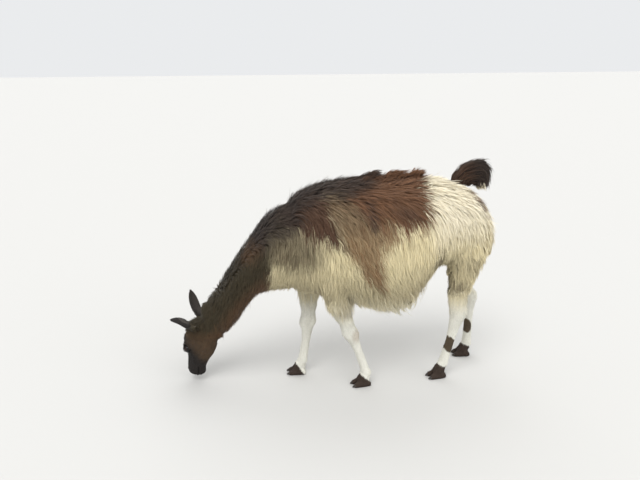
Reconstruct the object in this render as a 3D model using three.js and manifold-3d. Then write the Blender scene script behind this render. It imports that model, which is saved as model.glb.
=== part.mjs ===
// A grazing llama at life size, as a still model. Millimetres, +Z up.
// It stands on the floor, Z = 0, and faces -X, so its left side is -Y.
// Every solid takes in the fleece: its surface is where the tips of the coat lie.
import * as THREE from "three";
import { mergeVertices } from "three/addons/utils/BufferGeometryUtils.js";
import Module from "manifold-3d";

const wasm = await Module();
wasm.setup();

// ---------- Driving sizes ----------
const CUT = 0.4; // the thin gap that parts one piece from the next
const HALF_TURN = Math.PI;
const degrees = THREE.MathUtils.degToRad;

const HEAD = {
  poll: [-962, 106, 342], // between the ears
  turn: degrees(31), // the face looks this far to the animal's right
};
const EYE = { radius: 17, down: 152, out: 49, proud: 31 };
// Each ear stands on its root and points along its own line, in the head's own frame.
const EAR = { length: 138, width: 52, wall: 6 };
const EARS = {
  left: { root: [25, 42, 22], points: [-0.02, -0.34, 0.94], opens: [0.9, 0.4, 0.1] },
  right: { root: [6, -40, 2], points: [-0.94, -0.05, 0.34], opens: [0.1, -0.5, 0.85] },
};
const TOE = { length: 84, width: 33, height: 34, apart: 18 };
const NAIL = { length: 24, width: 18, height: 17 };
const FETLOCK_HEIGHT = 60;
const FOOT_CUT = 74; // the height at which each foot parts from its leg

// The legs' joints, from the haunch down. The toes point straight ahead, turned outward by toeOut.
const LEGS = {
  front_left: {
    joints: [[-312, -128, 560], [-278, -122, 420], [-220, -110, 288], [-141, -103, FETLOCK_HEIGHT]],
    toeOut: degrees(6),
    cutHeight: 468,
  },
  front_right: {
    joints: [[-385, 120, 560], [-392, 108, 420], [-399, 90, 276], [-440, 74, FETLOCK_HEIGHT]],
    toeOut: degrees(-6),
    cutHeight: 470,
  },
  hind_left: {
    joints: [[330, -132, 600], [310, -122, 465], [330, -108, 338], [260, -98, FETLOCK_HEIGHT]],
    toeOut: degrees(6),
    cutHeight: 500,
  },
  hind_right: {
    joints: [[415, 128, 600], [404, 120, 465], [488, 108, 340], [480, 104, FETLOCK_HEIGHT]],
    toeOut: degrees(-8),
    cutHeight: 500,
  },
};

// ---------- Forms ----------
// A ring of the surface: its top and bottom points, and half its width across them.
// widest says how far up the widest place is, and ridge and keel how square the two halves are.
const ring = (top, bottom, half, { widest = 0.5, ridge = 2, keel = 2 } = {}) => ({
  top: new THREE.Vector3(...top),
  bottom: new THREE.Vector3(...bottom),
  half,
  widest,
  ridge,
  keel,
});

const power = (x, square) => Math.sign(x) * Math.abs(x) ** (2 / square);

// Rows along a form: how far along each one is, from 0 to 1, and the share of its full size it has.
// An end that isn't rounded over is flat: a full row, then the middle of the end.
function rowsOf(along, [start, end], steps) {
  const bend = (k) => (k / steps) * (HALF_TURN / 2);
  const rows = [[0, 0]];
  for (let k = 1; start && k < steps; k++) rows.push([start * (1 - Math.cos(bend(k))), Math.sin(bend(k))]);
  for (let k = 0; k <= along; k++) rows.push([start + (k / along) * (1 - start - end), 1]);
  for (let k = steps - 1; end && k >= 1; k--) rows.push([1 - end * (1 - Math.cos(bend(k))), Math.sin(bend(k))]);
  return [...rows, [1, 0]];
}

// A closed solid through rings. Its ends are flat, or rounded over the shares of its length that round gives.
function form(rings, { around = 20, along = 16, round = [0.1, 0.1], steps = 3, grow = 0 } = {}) {
  const top = new THREE.CatmullRomCurve3(rings.map((r) => r.top));
  const bottom = new THREE.CatmullRomCurve3(rings.map((r) => r.bottom));
  const sizes = new THREE.CatmullRomCurve3(rings.map((r) => new THREE.Vector3(r.half, r.widest, 0)));
  const squares = new THREE.CatmullRomCurve3(rings.map((r) => new THREE.Vector3(r.ridge, r.keel, 0)));
  const rows = rowsOf(along, round, steps);
  const geometry = new THREE.SphereGeometry(1, around, rows.length - 1);
  const { position, uv } = geometry.attributes;
  const centreAt = (t) => top.getPoint(t).add(bottom.getPoint(t)).multiplyScalar(0.5);
  for (let i = 0; i < position.count; i++) {
    const [t, shrink] = rows[Math.round((1 - uv.getY(i)) * (rows.length - 1))];
    const angle = uv.getX(i) * 2 * HALF_TURN;
    const [high, low] = [top.getPoint(t), bottom.getPoint(t)];
    const [half, widest] = sizes.getPoint(t).toArray();
    const [ridge, keel] = squares.getPoint(t).toArray();
    const centre = low.clone().lerp(high, widest);
    const upward = high.clone().sub(low).normalize();
    const onward = centreAt(Math.min(1, t + 0.01)).sub(centreAt(Math.max(0, t - 0.01)));
    const sideways = onward.cross(upward).normalize();
    const isUpper = Math.sin(angle) >= 0;
    const reach = (isUpper ? high : low).distanceTo(centre) + grow;
    const square = isUpper ? ridge : keel;
    centre
      .addScaledVector(sideways, shrink * (half + grow) * power(Math.cos(angle), square))
      .addScaledVector(upward, shrink * reach * power(Math.sin(angle), square));
    position.setXYZ(i, ...centre.toArray());
  }
  return solidOf(geometry);
}

// A three.js geometry as a solid to join and cut, and the other way round.
function solidOf(geometry) {
  geometry.deleteAttribute("normal");
  geometry.deleteAttribute("uv");
  const merged = mergeVertices(geometry, 1e-3);
  const vertProperties = merged.attributes.position.array;
  const triVerts = Uint32Array.from(merged.index.array);
  const solid = new wasm.Manifold(new wasm.Mesh({ numProp: 3, vertProperties, triVerts }));
  if (solid.volume() > 0) return solid;
  const turned = triVerts.map((_, i) => triVerts[i - (i % 3) + 2 - (i % 3)]);
  return new wasm.Manifold(new wasm.Mesh({ numProp: 3, vertProperties, triVerts: turned }));
}

function geometryOf(solid) {
  const { vertProperties, triVerts } = solid.getMesh();
  const geometry = new THREE.BufferGeometry();
  geometry.setAttribute("position", new THREE.BufferAttribute(vertProperties, 3));
  geometry.setIndex(new THREE.BufferAttribute(triVerts, 1));
  geometry.computeVertexNormals();
  return geometry;
}

const ball = ([x, y, z], [rx, ry, rz], detail = 10) =>
  solidOf(new THREE.SphereGeometry(1, detail, Math.round(detail * 0.7)).scale(rx, ry, rz).translate(x, y, z));

const join = (...solids) => solids.reduce((whole, next) => whole.add(next));
// Both of a pair that is made once, with side 1 on +Y and side -1 on -Y.
const bothSides = (make) => join(make(1), make(-1));

// Splits a solid by a plane through a point, and leaves the thin cut between the two parts.
function part(solid, point, normal) {
  const across = new THREE.Vector3(...normal).normalize();
  const offset = across.dot(new THREE.Vector3(...point));
  const ahead = solid.trimByPlane(across.toArray(), offset + CUT / 2);
  const behind = solid.trimByPlane(across.clone().negate().toArray(), CUT / 2 - offset);
  return [ahead, behind];
}

// ---------- Trunk ----------
function trunkForm(grow = 0) {
  return form(
    [
      ring([-620, 0, 780], [-635, 0, 590], 70),
      ring([-545, 0, 918], [-560, 0, 530], 142),
      ring([-450, 0, 1003], [-455, 0, 502], 195, { ridge: 1.8 }),
      ring([-330, 0, 1034], [-330, 0, 478], 222, { widest: 0.46, ridge: 1.75, keel: 2.2 }),
      ring([-190, 0, 1044], [-190, 0, 436], 238, { widest: 0.45, ridge: 1.75, keel: 2.3 }),
      ring([-60, 0, 1050], [-60, 0, 396], 246, { widest: 0.44, ridge: 1.8, keel: 2.4 }),
      ring([50, 0, 1052], [40, 0, 404], 244, { widest: 0.45, ridge: 1.8, keel: 2.3 }),
      ring([150, 0, 1052], [122, 0, 492], 238, { widest: 0.45, ridge: 1.8, keel: 2.3 }),
      ring([240, 0, 1040], [205, 0, 586], 230, { widest: 0.45, ridge: 1.9, keel: 2.2 }),
      ring([330, 0, 1010], [315, 0, 600], 216, { widest: 0.48, ridge: 2, keel: 2.2 }),
      ring([425, 0, 955], [420, 0, 590], 190),
      ring([490, 0, 868], [480, 0, 600], 142),
      ring([526, 0, 790], [520, 0, 660], 80),
    ],
    { around: 20, along: 16, round: [0.1, 0.08], steps: 2, grow },
  );
}

// The thigh, from the hip to above the hock, on one side. The rump behind it is where the trunk's is.
function thighForm([, gaskin, hock], side, grow = 0) {
  const [gx, gy] = gaskin;
  return form(
    [
      ring([210, side * 92, 905], [440, side * 72, 900], 85),
      ring([225, side * 125, 780], [500, side * 80, 780], 94),
      ring([gx - 70, gy, 660], [Math.min(gx + 172, 518), gy - side * 25, 680], 94),
      ring([gx - 56, gy, 560], [gx + 118, gy - side * 5, 585], 80),
      ring([gx - 50, gy, 475], [gx + 66, gy, 490], 52),
      ring([hock[0] - 38, hock[1], 400], [hock[0] + 30, hock[1], 410], 30),
    ],
    { around: 12, along: 8, round: [0.15, 0.06], steps: 2, grow },
  );
}

// The shoulder and the top of the forearm, on one side.
function shoulderForm([elbow, forearm], side, grow = 0) {
  const [ex, ey] = elbow;
  const [fx, fy] = forearm;
  return form(
    [
      ring([ex - 110, side * 100, 760], [ex + 80, side * 100, 760], 80),
      ring([ex - 105, ey, 620], [ex + 85, ey, 620], 70),
      ring([ex - 84, ey, 540], [ex + 76, ey, 545], 60),
      ring([fx - 62, fy, 470], [fx + 56, fy, 474], 48),
      ring([fx - 44, fy, 400], [fx + 38, fy, 404], 32),
    ],
    { around: 10, along: 6, round: [0.15, 0.05], steps: 1, grow },
  );
}

const tailForm = () =>
  form(
    [
      ring([312, 0, 985], [392, 0, 960], 34),
      ring([318, 0, 1035], [388, 0, 1005], 36),
      ring([346, 0, 1080], [396, 0, 1022], 38),
      ring([402, 0, 1103], [414, 0, 1032], 40),
      ring([454, 0, 1097], [434, 0, 1030], 40),
      ring([486, 0, 1062], [444, 0, 1016], 38),
      ring([488, 0, 1012], [448, 0, 996], 32),
      ring([478, 0, 968], [462, 0, 962], 18),
    ],
    { around: 10, along: 12, round: [0, 0.08], steps: 1 },
  );

// A lock of the back's fleece that stands up and curls to the rear.
const backLock = (x, y, z, height) =>
  form(
    [
      ring([x - height * 1.2, y, z - 30], [x + height * 1.2, y, z - 30], 30),
      ring([x - height * 0.5, y, z + height * 0.3], [x + height * 1.1, y, z], 22),
      ring([x + height * 0.4, y, z + height * 0.75], [x + height * 1.2, y, z + height * 0.4], 13),
      ring([x + height * 1.5, y, z + height], [x + height * 1.5, y, z + height * 0.9], 3),
    ],
    { around: 8, along: 4, round: [0, 0.1], steps: 1 },
  );

// ---------- Neck ----------
const neckForm = (grow = 0) =>
  form(
    [
      ring([-390, 0, 1010], [-410, 0, 520], 165),
      ring([-470, 0, 982], [-500, 0, 508], 174, { ridge: 1.8 }),
      ring([-560, 4, 922], [-590, 6, 503], 149, { ridge: 1.8 }),
      ring([-645, 14, 846], [-655, 18, 482], 124, { ridge: 1.85 }),
      ring([-722, 28, 748], [-702, 34, 420], 109, { ridge: 1.9 }),
      ring([-792, 48, 638], [-744, 54, 344], 99),
      ring([-858, 72, 530], [-792, 74, 278], 91),
      ring([-914, 92, 446], [-836, 90, 234], 84),
      ring([-962, 103, 386], [-884, 100, 214], 74),
    ],
    { around: 16, along: 11, round: [0.05, 0.06], steps: 2, grow },
  );

// ---------- Head, in its own frame: X from the poll to the lips, Y to its left, Z out of the forehead ----------
const skullForm = (grow = 0) =>
  form(
    [
      ring([-8, 0, 14], [-5, 0, -72], 48),
      ring([18, 0, 44], [25, 0, -98], 58),
      ring([60, 0, 64], [65, 0, -110], 62, { widest: 0.6 }),
      ring([108, 0, 72], [112, 0, -110], 61, { widest: 0.62 }),
      ring([150, 0, 69], [150, 0, -103], 57, { widest: 0.64 }),
      ring([188, 0, 59], [188, 0, -84], 45, { widest: 0.6 }),
      ring([228, 0, 59], [224, 0, -58], 37, { widest: 0.52, ridge: 2.3 }),
      ring([266, 0, 63], [262, 0, -38], 35, { widest: 0.48, ridge: 2.4, keel: 2.2 }),
      ring([296, 0, 58], [292, 0, -33], 34, { widest: 0.48, ridge: 2.3, keel: 2.2 }),
      ring([320, 0, 32], [312, 0, -22], 24),
    ],
    { around: 18, along: 12, round: [0.06, 0.06], steps: 2, grow },
  );

const browForm = (side) => ball([EYE.down - 8, side * (EYE.out - 6), EYE.proud + 3], [34, 20, 26]);
const cheekForm = (side) => ball([120, side * 24, -46], [66, 27, 50]);
const nostrilForm = (side) => ball([291, side * 27, 30], [15, 5, 5], 8);
const eyeForm = (side, grow = 0) => {
  const { radius, down, out, proud } = EYE;
  return ball([down, side * out, proud], [radius + grow, radius + grow, radius + grow]);
};

// An ear, upright on its root along +Z, with its hollow facing +Y.
function earForm() {
  const { length, width, wall } = EAR;
  const leaf = form(
    [
      ring([0, 20, -26], [0, -14, -26], width * 0.34),
      ring([0, 22, length * 0.12], [0, -18, length * 0.12], width * 0.44),
      ring([0, 22, length * 0.4], [0, -17, length * 0.4], width * 0.5),
      ring([0, 20, length * 0.68], [0, -10, length * 0.66], width * 0.4),
      ring([0, 16, length * 0.88], [0, 0, length * 0.86], width * 0.24),
      ring([0, 12, length], [0, 8, length], 3),
    ],
    { around: 10, along: 6, round: [0, 0.08], steps: 1 },
  );
  const hollow = form(
    [
      ring([0, 50, 12], [0, wall - 14, 12], width * 0.3),
      ring([0, 50, length * 0.4], [0, wall - 15, length * 0.4], width * 0.4),
      ring([0, 50, length * 0.7], [0, wall - 8, length * 0.68], width * 0.3),
      ring([0, 50, length * 0.94], [0, wall + 4, length * 0.93], 3),
    ],
    { around: 8, along: 4, round: [0.12, 0.05], steps: 1 },
  );
  return leaf.subtract(hollow);
}

// The turn and place of an ear in the head's frame.
function earMatrix({ root, points, opens }) {
  const up = new THREE.Vector3(...points).normalize();
  const side = new THREE.Vector3(...opens).cross(up).normalize();
  return new THREE.Matrix4().makeBasis(side, up.clone().cross(side), up).setPosition(...root);
}

// ---------- Legs and feet ----------
// A leg through its joints. Each section is a joint, the share of the way to the next one, and the
// hair's surface in front of, behind and beside that point.
const FORE_SECTIONS = [
  [0, 0.6, 62, 56, 46],
  [1, 0, 54, 50, 42],
  [1, 0.45, 46, 42, 37],
  [1, 0.8, 39, 37, 33],
  [2, 0, 41, 35, 34],
  [2, 0.14, 34, 30, 30],
  [2, 0.3, 22, 25, 24],
  [2, 0.75, 19, 25, 23],
  [3, 0, 25, 30, 27],
];
const HIND_SECTIONS = [
  [0, 0.7, 62, 76, 50],
  [1, 0, 52, 62, 44],
  [1, 0.45, 46, 48, 37],
  [1, 0.85, 46, 44, 33],
  [2, 0.03, 42, 42, 32],
  [2, 0.15, 36, 33, 29],
  [2, 0.3, 24, 25, 24],
  [2, 0.75, 19, 26, 23],
  [3, 0, 25, 31, 27],
];

function limbForm(joints, sections) {
  const points = joints.map((joint) => new THREE.Vector3(...joint));
  const rings = sections.map(([joint, share, front, back, half]) => {
    const next = points[Math.min(joint + 1, points.length - 1)];
    const { x, y, z } = points[joint].clone().lerp(next, share);
    return ring([x - front, y, z], [x + back, y, z], half);
  });
  return form(rings, { around: 10, along: 10, round: [0, 0], steps: 1 });
}

// A foot in its own frame: under the fetlock, pointing to -X, with its sole at Z = 0.
function footForm() {
  const { length, width, height, apart } = TOE;
  const toe = (side) =>
    form(
      [
        ring([22, side * apart * 0.9, height * 0.8], [28, side * apart * 0.9, -4], width * 0.42),
        ring([0, side * apart, height * 1.05], [6, side * apart, -5], width * 0.55, { keel: 3 }),
        ring([-32, side * apart, height * 0.82], [-32, side * apart, -5], width * 0.52, { keel: 3 }),
        ring([30 - length, side * apart * 1.1, height * 0.5], [28 - length, side * apart * 1.1, -2], width * 0.36),
      ],
      { around: 8, along: 3, round: [0.15, 0.12], steps: 1 },
    );
  const pastern = form(
    [
      ring([-29, 0, FETLOCK_HEIGHT + 28], [32, 0, FETLOCK_HEIGHT + 10], 27),
      ring([-36, 0, FETLOCK_HEIGHT - 2], [24, 0, FETLOCK_HEIGHT - 20], 28),
      ring([-42, 0, 40], [14, 0, 24], 31),
      ring([-44, 0, 22], [6, 0, 10], 30),
    ],
    { around: 8, along: 3, round: [0.25, 0.15], steps: 1 },
  );
  return join(bothSides(toe), pastern).trimByPlane([0, 0, 1], 0);
}

function nailForm(side, grow = 0) {
  const { length, width, height } = NAIL;
  const [x, y] = [24 - TOE.length, side * TOE.apart * 1.12];
  return form(
    [
      ring([x + 14, y, height + 2], [x + 14, y, 4], width * 0.5),
      ring([x, y, height + 1], [x, y, 2.5], width * 0.52),
      ring([x - length * 0.45, y - side, height * 0.8], [x - length * 0.4, y - side, 2], width * 0.38),
      ring([x - length * 0.8, y - side * 3, 6], [x - length * 0.75, y - side * 3, 3], width * 0.14),
    ],
    { around: 8, along: 3, round: [0.1, 0.1], steps: 1, grow },
  );
}

// ---------- Assembly ----------
const coat = (color, roughness = 0.95) => new THREE.MeshStandardMaterial({ color, roughness, metalness: 0 });
const brownFleece = coat(0x5a4636);
const creamFleece = coat(0xcfc3a4);
const darkHair = coat(0x3a2f28, 0.85);
const whiteHair = coat(0xe4e2da, 0.85);
const footHair = coat(0x2c2521, 0.8);
const nailHorn = coat(0x26221f, 0.45);
const eyeGloss = coat(0x17110d, 0.08);

function piece(name, solid, material) {
  const mesh = new THREE.Mesh(geometryOf(solid), material);
  mesh.name = name;
  return mesh;
}

const moved = (solid, matrix) => solid.transform(matrix.elements);

const headFrame = new THREE.Group();
headFrame.position.set(...HEAD.poll);
headFrame.rotation.set(0, HALF_TURN / 2, HALF_TURN - HEAD.turn, "ZYX");
headFrame.updateMatrix();

// Each leg is one form from the haunch to the toes. The cuts across it leave the haunch on the trunk
// and part the foot from the leg at the fetlock.
const limbs = Object.entries(LEGS).map(([name, { joints, toeOut, cutHeight }]) => {
  const [isHind, side] = [name.startsWith("hind"), name.endsWith("left") ? -1 : 1];
  const stand = new THREE.Group();
  stand.position.set(joints[3][0], joints[3][1], 0);
  stand.rotation.z = toeOut;
  stand.updateMatrix();
  const haunch = isHind ? thighForm(joints, side) : shoulderForm(joints, side);
  const limb = limbForm(joints, isHind ? HIND_SECTIONS : FORE_SECTIONS);
  const leg = join(haunch, limb, moved(footForm(), stand.matrix));
  const [upper, lower] = part(leg, [0, 0, cutHeight], [0, 0, 1]);
  const [shank, foot] = part(lower, [0, 0, FOOT_CUT], [0, 0, 1]);
  return { name, side, stand, upper, shank: shank.subtract(trunkForm(CUT)), foot };
});

const backLocks = join(backLock(-135, 8, 1044, 30), backLock(-20, -10, 1052, 17), backLock(125, 6, 1052, 21));
const haunches = join(...limbs.map(({ upper }) => upper));
const headForm = join(skullForm(), bothSides(browForm), bothSides(cheekForm)).subtract(bothSides(nostrilForm));
const whole = join(trunkForm(), haunches, backLocks, neckForm(), moved(headForm, headFrame.matrix));

const NECK_BASE = { point: [-505, 0, 760], normal: [-1, 0, -0.05] };
const HEAD_JOINT = { point: [-868, 95, 330], normal: [-0.93, 0, -0.36] };
const [foreEnd, trunkPart] = part(whole, NECK_BASE.point, NECK_BASE.normal);
const [headPart, neckPart] = part(foreEnd, HEAD_JOINT.point, HEAD_JOINT.normal);

const llama = new THREE.Group();
const tailSocket = join(trunkForm(CUT), ...["hind_left", "hind_right"].map((name, i) =>
  thighForm(LEGS[name].joints, i ? 1 : -1, CUT)));
llama.add(
  piece("trunk", trunkPart, creamFleece),
  piece("neck", neckPart, brownFleece),
  piece("tail", tailForm().subtract(tailSocket), darkHair),
);

const headSolid = moved(headPart, headFrame.matrix.clone().invert());
const headSockets = bothSides((side) => eyeForm(side, CUT));
headFrame.add(piece("head", headSolid.subtract(headSockets), darkHair));
for (const [name, side] of [["left", 1], ["right", -1]]) {
  const ear = moved(earForm(), earMatrix(EARS[name]));
  const head = join(skullForm(CUT), moved(neckForm(CUT), headFrame.matrix.clone().invert()));
  headFrame.add(piece(`ear_${name}`, ear.subtract(head), darkHair));
  headFrame.add(piece(`eye_${name}`, eyeForm(side), eyeGloss));
}
llama.add(headFrame);

for (const { name, side, stand, shank, foot } of limbs) {
  const footSolid = moved(foot, stand.matrix.clone().invert());
  const nails = bothSides((toe) => nailForm(toe, CUT));
  llama.add(piece(`leg_${name}`, shank, whiteHair));
  stand.add(piece(`foot_${name}`, footSolid.subtract(nails), footHair));
  stand.add(piece(`nail_${name}_outer`, nailForm(side), nailHorn));
  stand.add(piece(`nail_${name}_inner`, nailForm(-side), nailHorn));
  llama.add(stand);
}

// The model's place: its box stands on the floor, with its middle over the origin.
const box = new THREE.Box3().setFromObject(llama, true);
const middle = box.getCenter(new THREE.Vector3());
llama.position.set(-middle.x, -middle.y, 0);

export default llama;
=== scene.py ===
"""A grazing llama at life size: skin, coat, eyes and nails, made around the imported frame."""
import math
from contextlib import contextmanager
from functools import reduce

import bmesh
import bpy
import numpy as np
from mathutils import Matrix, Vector
from mathutils.bvhtree import BVHTree
from mathutils.kdtree import KDTree


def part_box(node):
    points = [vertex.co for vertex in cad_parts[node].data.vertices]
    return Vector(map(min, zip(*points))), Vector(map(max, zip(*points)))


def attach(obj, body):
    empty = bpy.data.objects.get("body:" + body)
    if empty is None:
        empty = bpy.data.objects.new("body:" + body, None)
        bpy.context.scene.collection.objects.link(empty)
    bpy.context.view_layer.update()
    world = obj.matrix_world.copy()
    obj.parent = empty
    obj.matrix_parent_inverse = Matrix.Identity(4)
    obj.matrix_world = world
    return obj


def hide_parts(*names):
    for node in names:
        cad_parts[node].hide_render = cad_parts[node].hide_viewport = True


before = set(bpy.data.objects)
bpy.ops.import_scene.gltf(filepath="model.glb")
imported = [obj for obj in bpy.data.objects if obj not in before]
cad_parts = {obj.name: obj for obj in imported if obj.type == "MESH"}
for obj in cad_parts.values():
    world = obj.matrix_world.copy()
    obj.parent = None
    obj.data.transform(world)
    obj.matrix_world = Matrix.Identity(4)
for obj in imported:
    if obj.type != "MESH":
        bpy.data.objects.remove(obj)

bl_info = {
    "name": "Grazing llama",
    "version": (1, 0, 0),
    "blender": (4, 5, 0),
    "location": "3D View > Sidebar > Llama",
    "description": "Makes the skin, coat, eyes, nails and stage of a life-size llama",
    "category": "Add Mesh",
}

# Lengths are in metres. x runs to the tail, y to the animal's right, and z up from the floor.
SIDES = ("left", "right")
FEET = ("front_left", "front_right", "hind_left", "hind_right")
EARS = [f"ear_{side}" for side in SIDES]
LEGS = [f"leg_{foot}" for foot in FEET]
PAWS = [f"foot_{foot}" for foot in FEET]
BODY = ["trunk", "neck", "head", "tail", *LEGS, *PAWS]
NAILS = [f"nail_{foot}_{toe}" for foot in FEET for toe in ("inner", "outer")]
# The regions that the fields over the skin tell apart, and the nodes of each.
REGIONS = {
    "trunk": ["trunk"],
    "neck": ["neck"],
    "head": ["head"],
    "tail": ["tail"],
    "ear": EARS,
    "leg": LEGS,
    "paw": PAWS,
}
SEED = 7
PAW_DEPTH = 0.0015  # how deep the skin lies under the short hair of the feet
OVER_FLOOR = 0.0008  # the least height of the skin over the floor, and of the coat over the skin
UP = np.array([0.0, 0.0, 1.0])
BACK = np.array([1.0, 0.0, 0.0])


# ---------- Numbers over many points ----------
def unit(vectors):
    vectors = np.asarray(vectors, float)
    return vectors / np.maximum(np.linalg.norm(vectors, axis=-1, keepdims=True), 1e-9)


def ramp(value, low, high):
    """0 up to low and 1 from high, or the other way round, with a soft bend at both."""
    share = np.clip((value - low) / (high - low), 0, 1)
    return share * share * (3 - 2 * share)


def bell(value, centre, width):
    return np.exp(-(((value - centre) / width) ** 2))


def dot(one, other):
    return np.sum(one * other, axis=-1)


def blend(weight, one, other):
    """Vectors: one where weight is 0, and other where it is 1."""
    return one + np.asarray(weight)[..., None] * (other - one)


def distance_to_segment(points, start, end):
    start, end = np.asarray(start), np.asarray(end)
    along = end - start
    share = np.clip((points - start) @ along / (along @ along), 0, 1)
    return np.linalg.norm(points - start - share[:, None] * along, axis=1)


# ---------- Places, from the frame ----------
def middle(node):
    low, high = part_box(node)
    return np.array((low + high) / 2)


# The head's own directions: down the face, to its left and out of the forehead, from the poll.
EYE_DOWN, EYE_OUT, EYE_RADIUS = 0.152, 0.031, 0.017
GAZE = np.array([-0.04, 0.90, 0.42])  # the way the left eye looks, in the head's directions
EYE = {side: middle(f"eye_{side}") for side in SIDES}
FACE_DOWN = -UP
FACE_LEFT = unit(EYE["left"] - EYE["right"])
FACE_OUT = np.cross(FACE_DOWN, FACE_LEFT)
EYE_SIDE = float(np.linalg.norm(EYE["left"] - EYE["right"])) / 2
POLL = (EYE["left"] + EYE["right"]) / 2 - EYE_DOWN * FACE_DOWN - EYE_OUT * FACE_OUT
FACE = np.array([FACE_DOWN, FACE_LEFT, FACE_OUT])
LID = 0.0016  # how far the lids stand over the eyeball
OPENING = (0.0145, 0.0082)  # half the width and height between the lids
COLLAR = 0.102  # how far down the face the fleece of the neck reaches
LIPS = POLL + 0.32 * FACE_DOWN
EAR_REACH = 0.11  # how far from an ear's middle its skin can be
LEG_REACH = 0.11  # how far from a leg's middle line its skin can be


def in_head(points):
    return (points - POLL) @ FACE.T


def from_eye(points):
    """How far each point is from the nearer eye."""
    local = in_head(points)
    local[:, 1] = np.abs(local[:, 1])
    return np.linalg.norm(local - [EYE_DOWN, EYE_SIDE, EYE_OUT], axis=1)


def near_ear(points, side):
    return np.linalg.norm(points - middle(f"ear_{side}"), axis=1) < EAR_REACH


# The top of the back as (x, z).
BACK_LINE = [
    (-0.26, 0.93), (-0.167, 0.998), (-0.047, 1.030), (0.093, 1.040), (0.223, 1.046),
    (0.333, 1.048), (0.433, 1.048), (0.523, 1.036), (0.613, 1.004), (0.708, 0.950),
]
# The tufts that stand up from the back: x, y, height and lean to the rear.
TUFTS = [
    (0.068, 0.010, 0.018, 0.050),
    (0.118, -0.010, 0.032, 0.055),
    (0.150, 0.012, 0.036, 0.060),
    (0.200, -0.014, 0.020, 0.055),
    (0.252, -0.008, 0.030, 0.060),
    (0.320, 0.012, 0.014, 0.050),
    (0.360, 0.008, 0.018, 0.050),
    (0.392, 0.000, 0.034, 0.030),
]
OVER_BACK = 1.05  # a height above the whole back
# Lines through the middle of the trunk, the neck, and each leg from elbow or stifle to fetlock.
TRUNK_LINE = [(-0.35, 0.0, 0.72), (0.80, 0.0, 0.76)]
NECK_LINE = [
    (-0.187, 0.0, 0.745), (-0.292, 0.005, 0.712), (-0.367, 0.016, 0.664),
    (-0.429, 0.031, 0.584), (-0.485, 0.051, 0.491), (-0.542, 0.073, 0.404),
    (-0.592, 0.091, 0.340), (-0.680, 0.106, 0.200),
]
LEG_LINES = {
    "front_left": [
        (-0.029, -0.128, 0.560), (0.005, -0.122, 0.420),
        (0.063, -0.110, 0.288), (0.142, -0.103, 0.060),
    ],
    "front_right": [
        (-0.102, 0.120, 0.560), (-0.109, 0.108, 0.420),
        (-0.116, 0.090, 0.276), (-0.157, 0.074, 0.060),
    ],
    "hind_left": [
        (0.613, -0.132, 0.600), (0.593, -0.122, 0.465),
        (0.613, -0.108, 0.338), (0.543, -0.098, 0.060),
    ],
    "hind_right": [
        (0.698, 0.128, 0.600), (0.687, 0.120, 0.465),
        (0.771, 0.108, 0.340), (0.763, 0.104, 0.060),
    ],
}
TAIL_ROOT = (0.694, 0.0, 0.976)
TAIL_HALF = 0.037  # half the plume's width
# The tail's middle line, from its root over the top and down to the tip, as shares of its box.
TAIL_LINE = [
    (0.20, 0.04), (0.21, 0.40), (0.32, 0.65), (0.52, 0.76),
    (0.74, 0.74), (0.86, 0.55), (0.88, 0.28), (0.89, 0.0),
]


def tail_points():
    low, high = (np.array(corner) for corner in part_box("tail"))
    size = high - low
    return np.array([[low[0] + x * size[0], 0, low[2] + z * size[2]] for x, z in TAIL_LINE])


def leg_line(foot):
    """A leg's middle line, carried on from the fetlock to the floor."""
    line = LEG_LINES[foot]
    return [*line, (line[-1][0], line[-1][1], 0.0)]


# ---------- Settings ----------
def linear(shade):
    """A colour such as 0x5a4636, as the red, green and blue that Blender's shaders use."""
    parts = [(shade >> shift & 255) / 255 for shift in (16, 8, 0)]
    return tuple(p / 12.92 if p <= 0.04045 else ((p + 0.055) / 1.055) ** 2.4 for p in parts)


def length_setting(name, description, default):
    return bpy.props.FloatProperty(
        name=name, description=description, default=default, min=0.0, max=0.3, unit="LENGTH"
    )


def depth_setting(name, cover, default):
    return length_setting(name, f"How deep the skin lies under {cover}", default)


def count_setting(name, description, default):
    return bpy.props.IntProperty(
        name=name, description=description, default=default, min=1, max=200000
    )


def colour_setting(name, description, shade):
    return bpy.props.FloatVectorProperty(
        name=name, description=description, default=linear(shade),
        size=3, min=0.0, max=1.0, subtype="COLOR",
    )


class LlamaSkinSettings(bpy.types.PropertyGroup):
    voxel: length_setting("Voxel", "Size of the cubes that the flesh is remeshed with", 0.0045)
    trunk_depth: depth_setting("Trunk depth", "the fleece of the trunk", 0.038)
    neck_depth: depth_setting("Neck depth", "the fleece of the neck", 0.022)
    tail_depth: depth_setting("Tail depth", "the hair of the tail", 0.026)
    leg_depth: depth_setting("Leg depth", "the short hair of the legs", 0.0015)
    face_depth: depth_setting("Face depth", "the short hair of the face", 0.002)
    ear_wall: length_setting("Ear wall", "Thickness of an ear", 0.003)


class LlamaCoatSettings(bpy.types.PropertyGroup):
    fleece_strands: count_setting("Fleece strands", "How many strands the fleece has", 106000)
    fleece_clumps: count_setting("Fleece clumps", "How many locks the strands gather in", 15000)
    fleece_width: length_setting("Fleece width", "Width of a strand at its widest", 0.0027)
    fleece_length: length_setting("Fleece length", "Length of the fleece on the flanks", 0.105)
    tail_strands: count_setting("Tail strands", "How many strands the tail has", 5000)
    leg_strands: count_setting("Leg strands", "How many strands the legs have", 16000)
    face_strands: count_setting("Face strands", "How many strands the face has", 18000)


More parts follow.
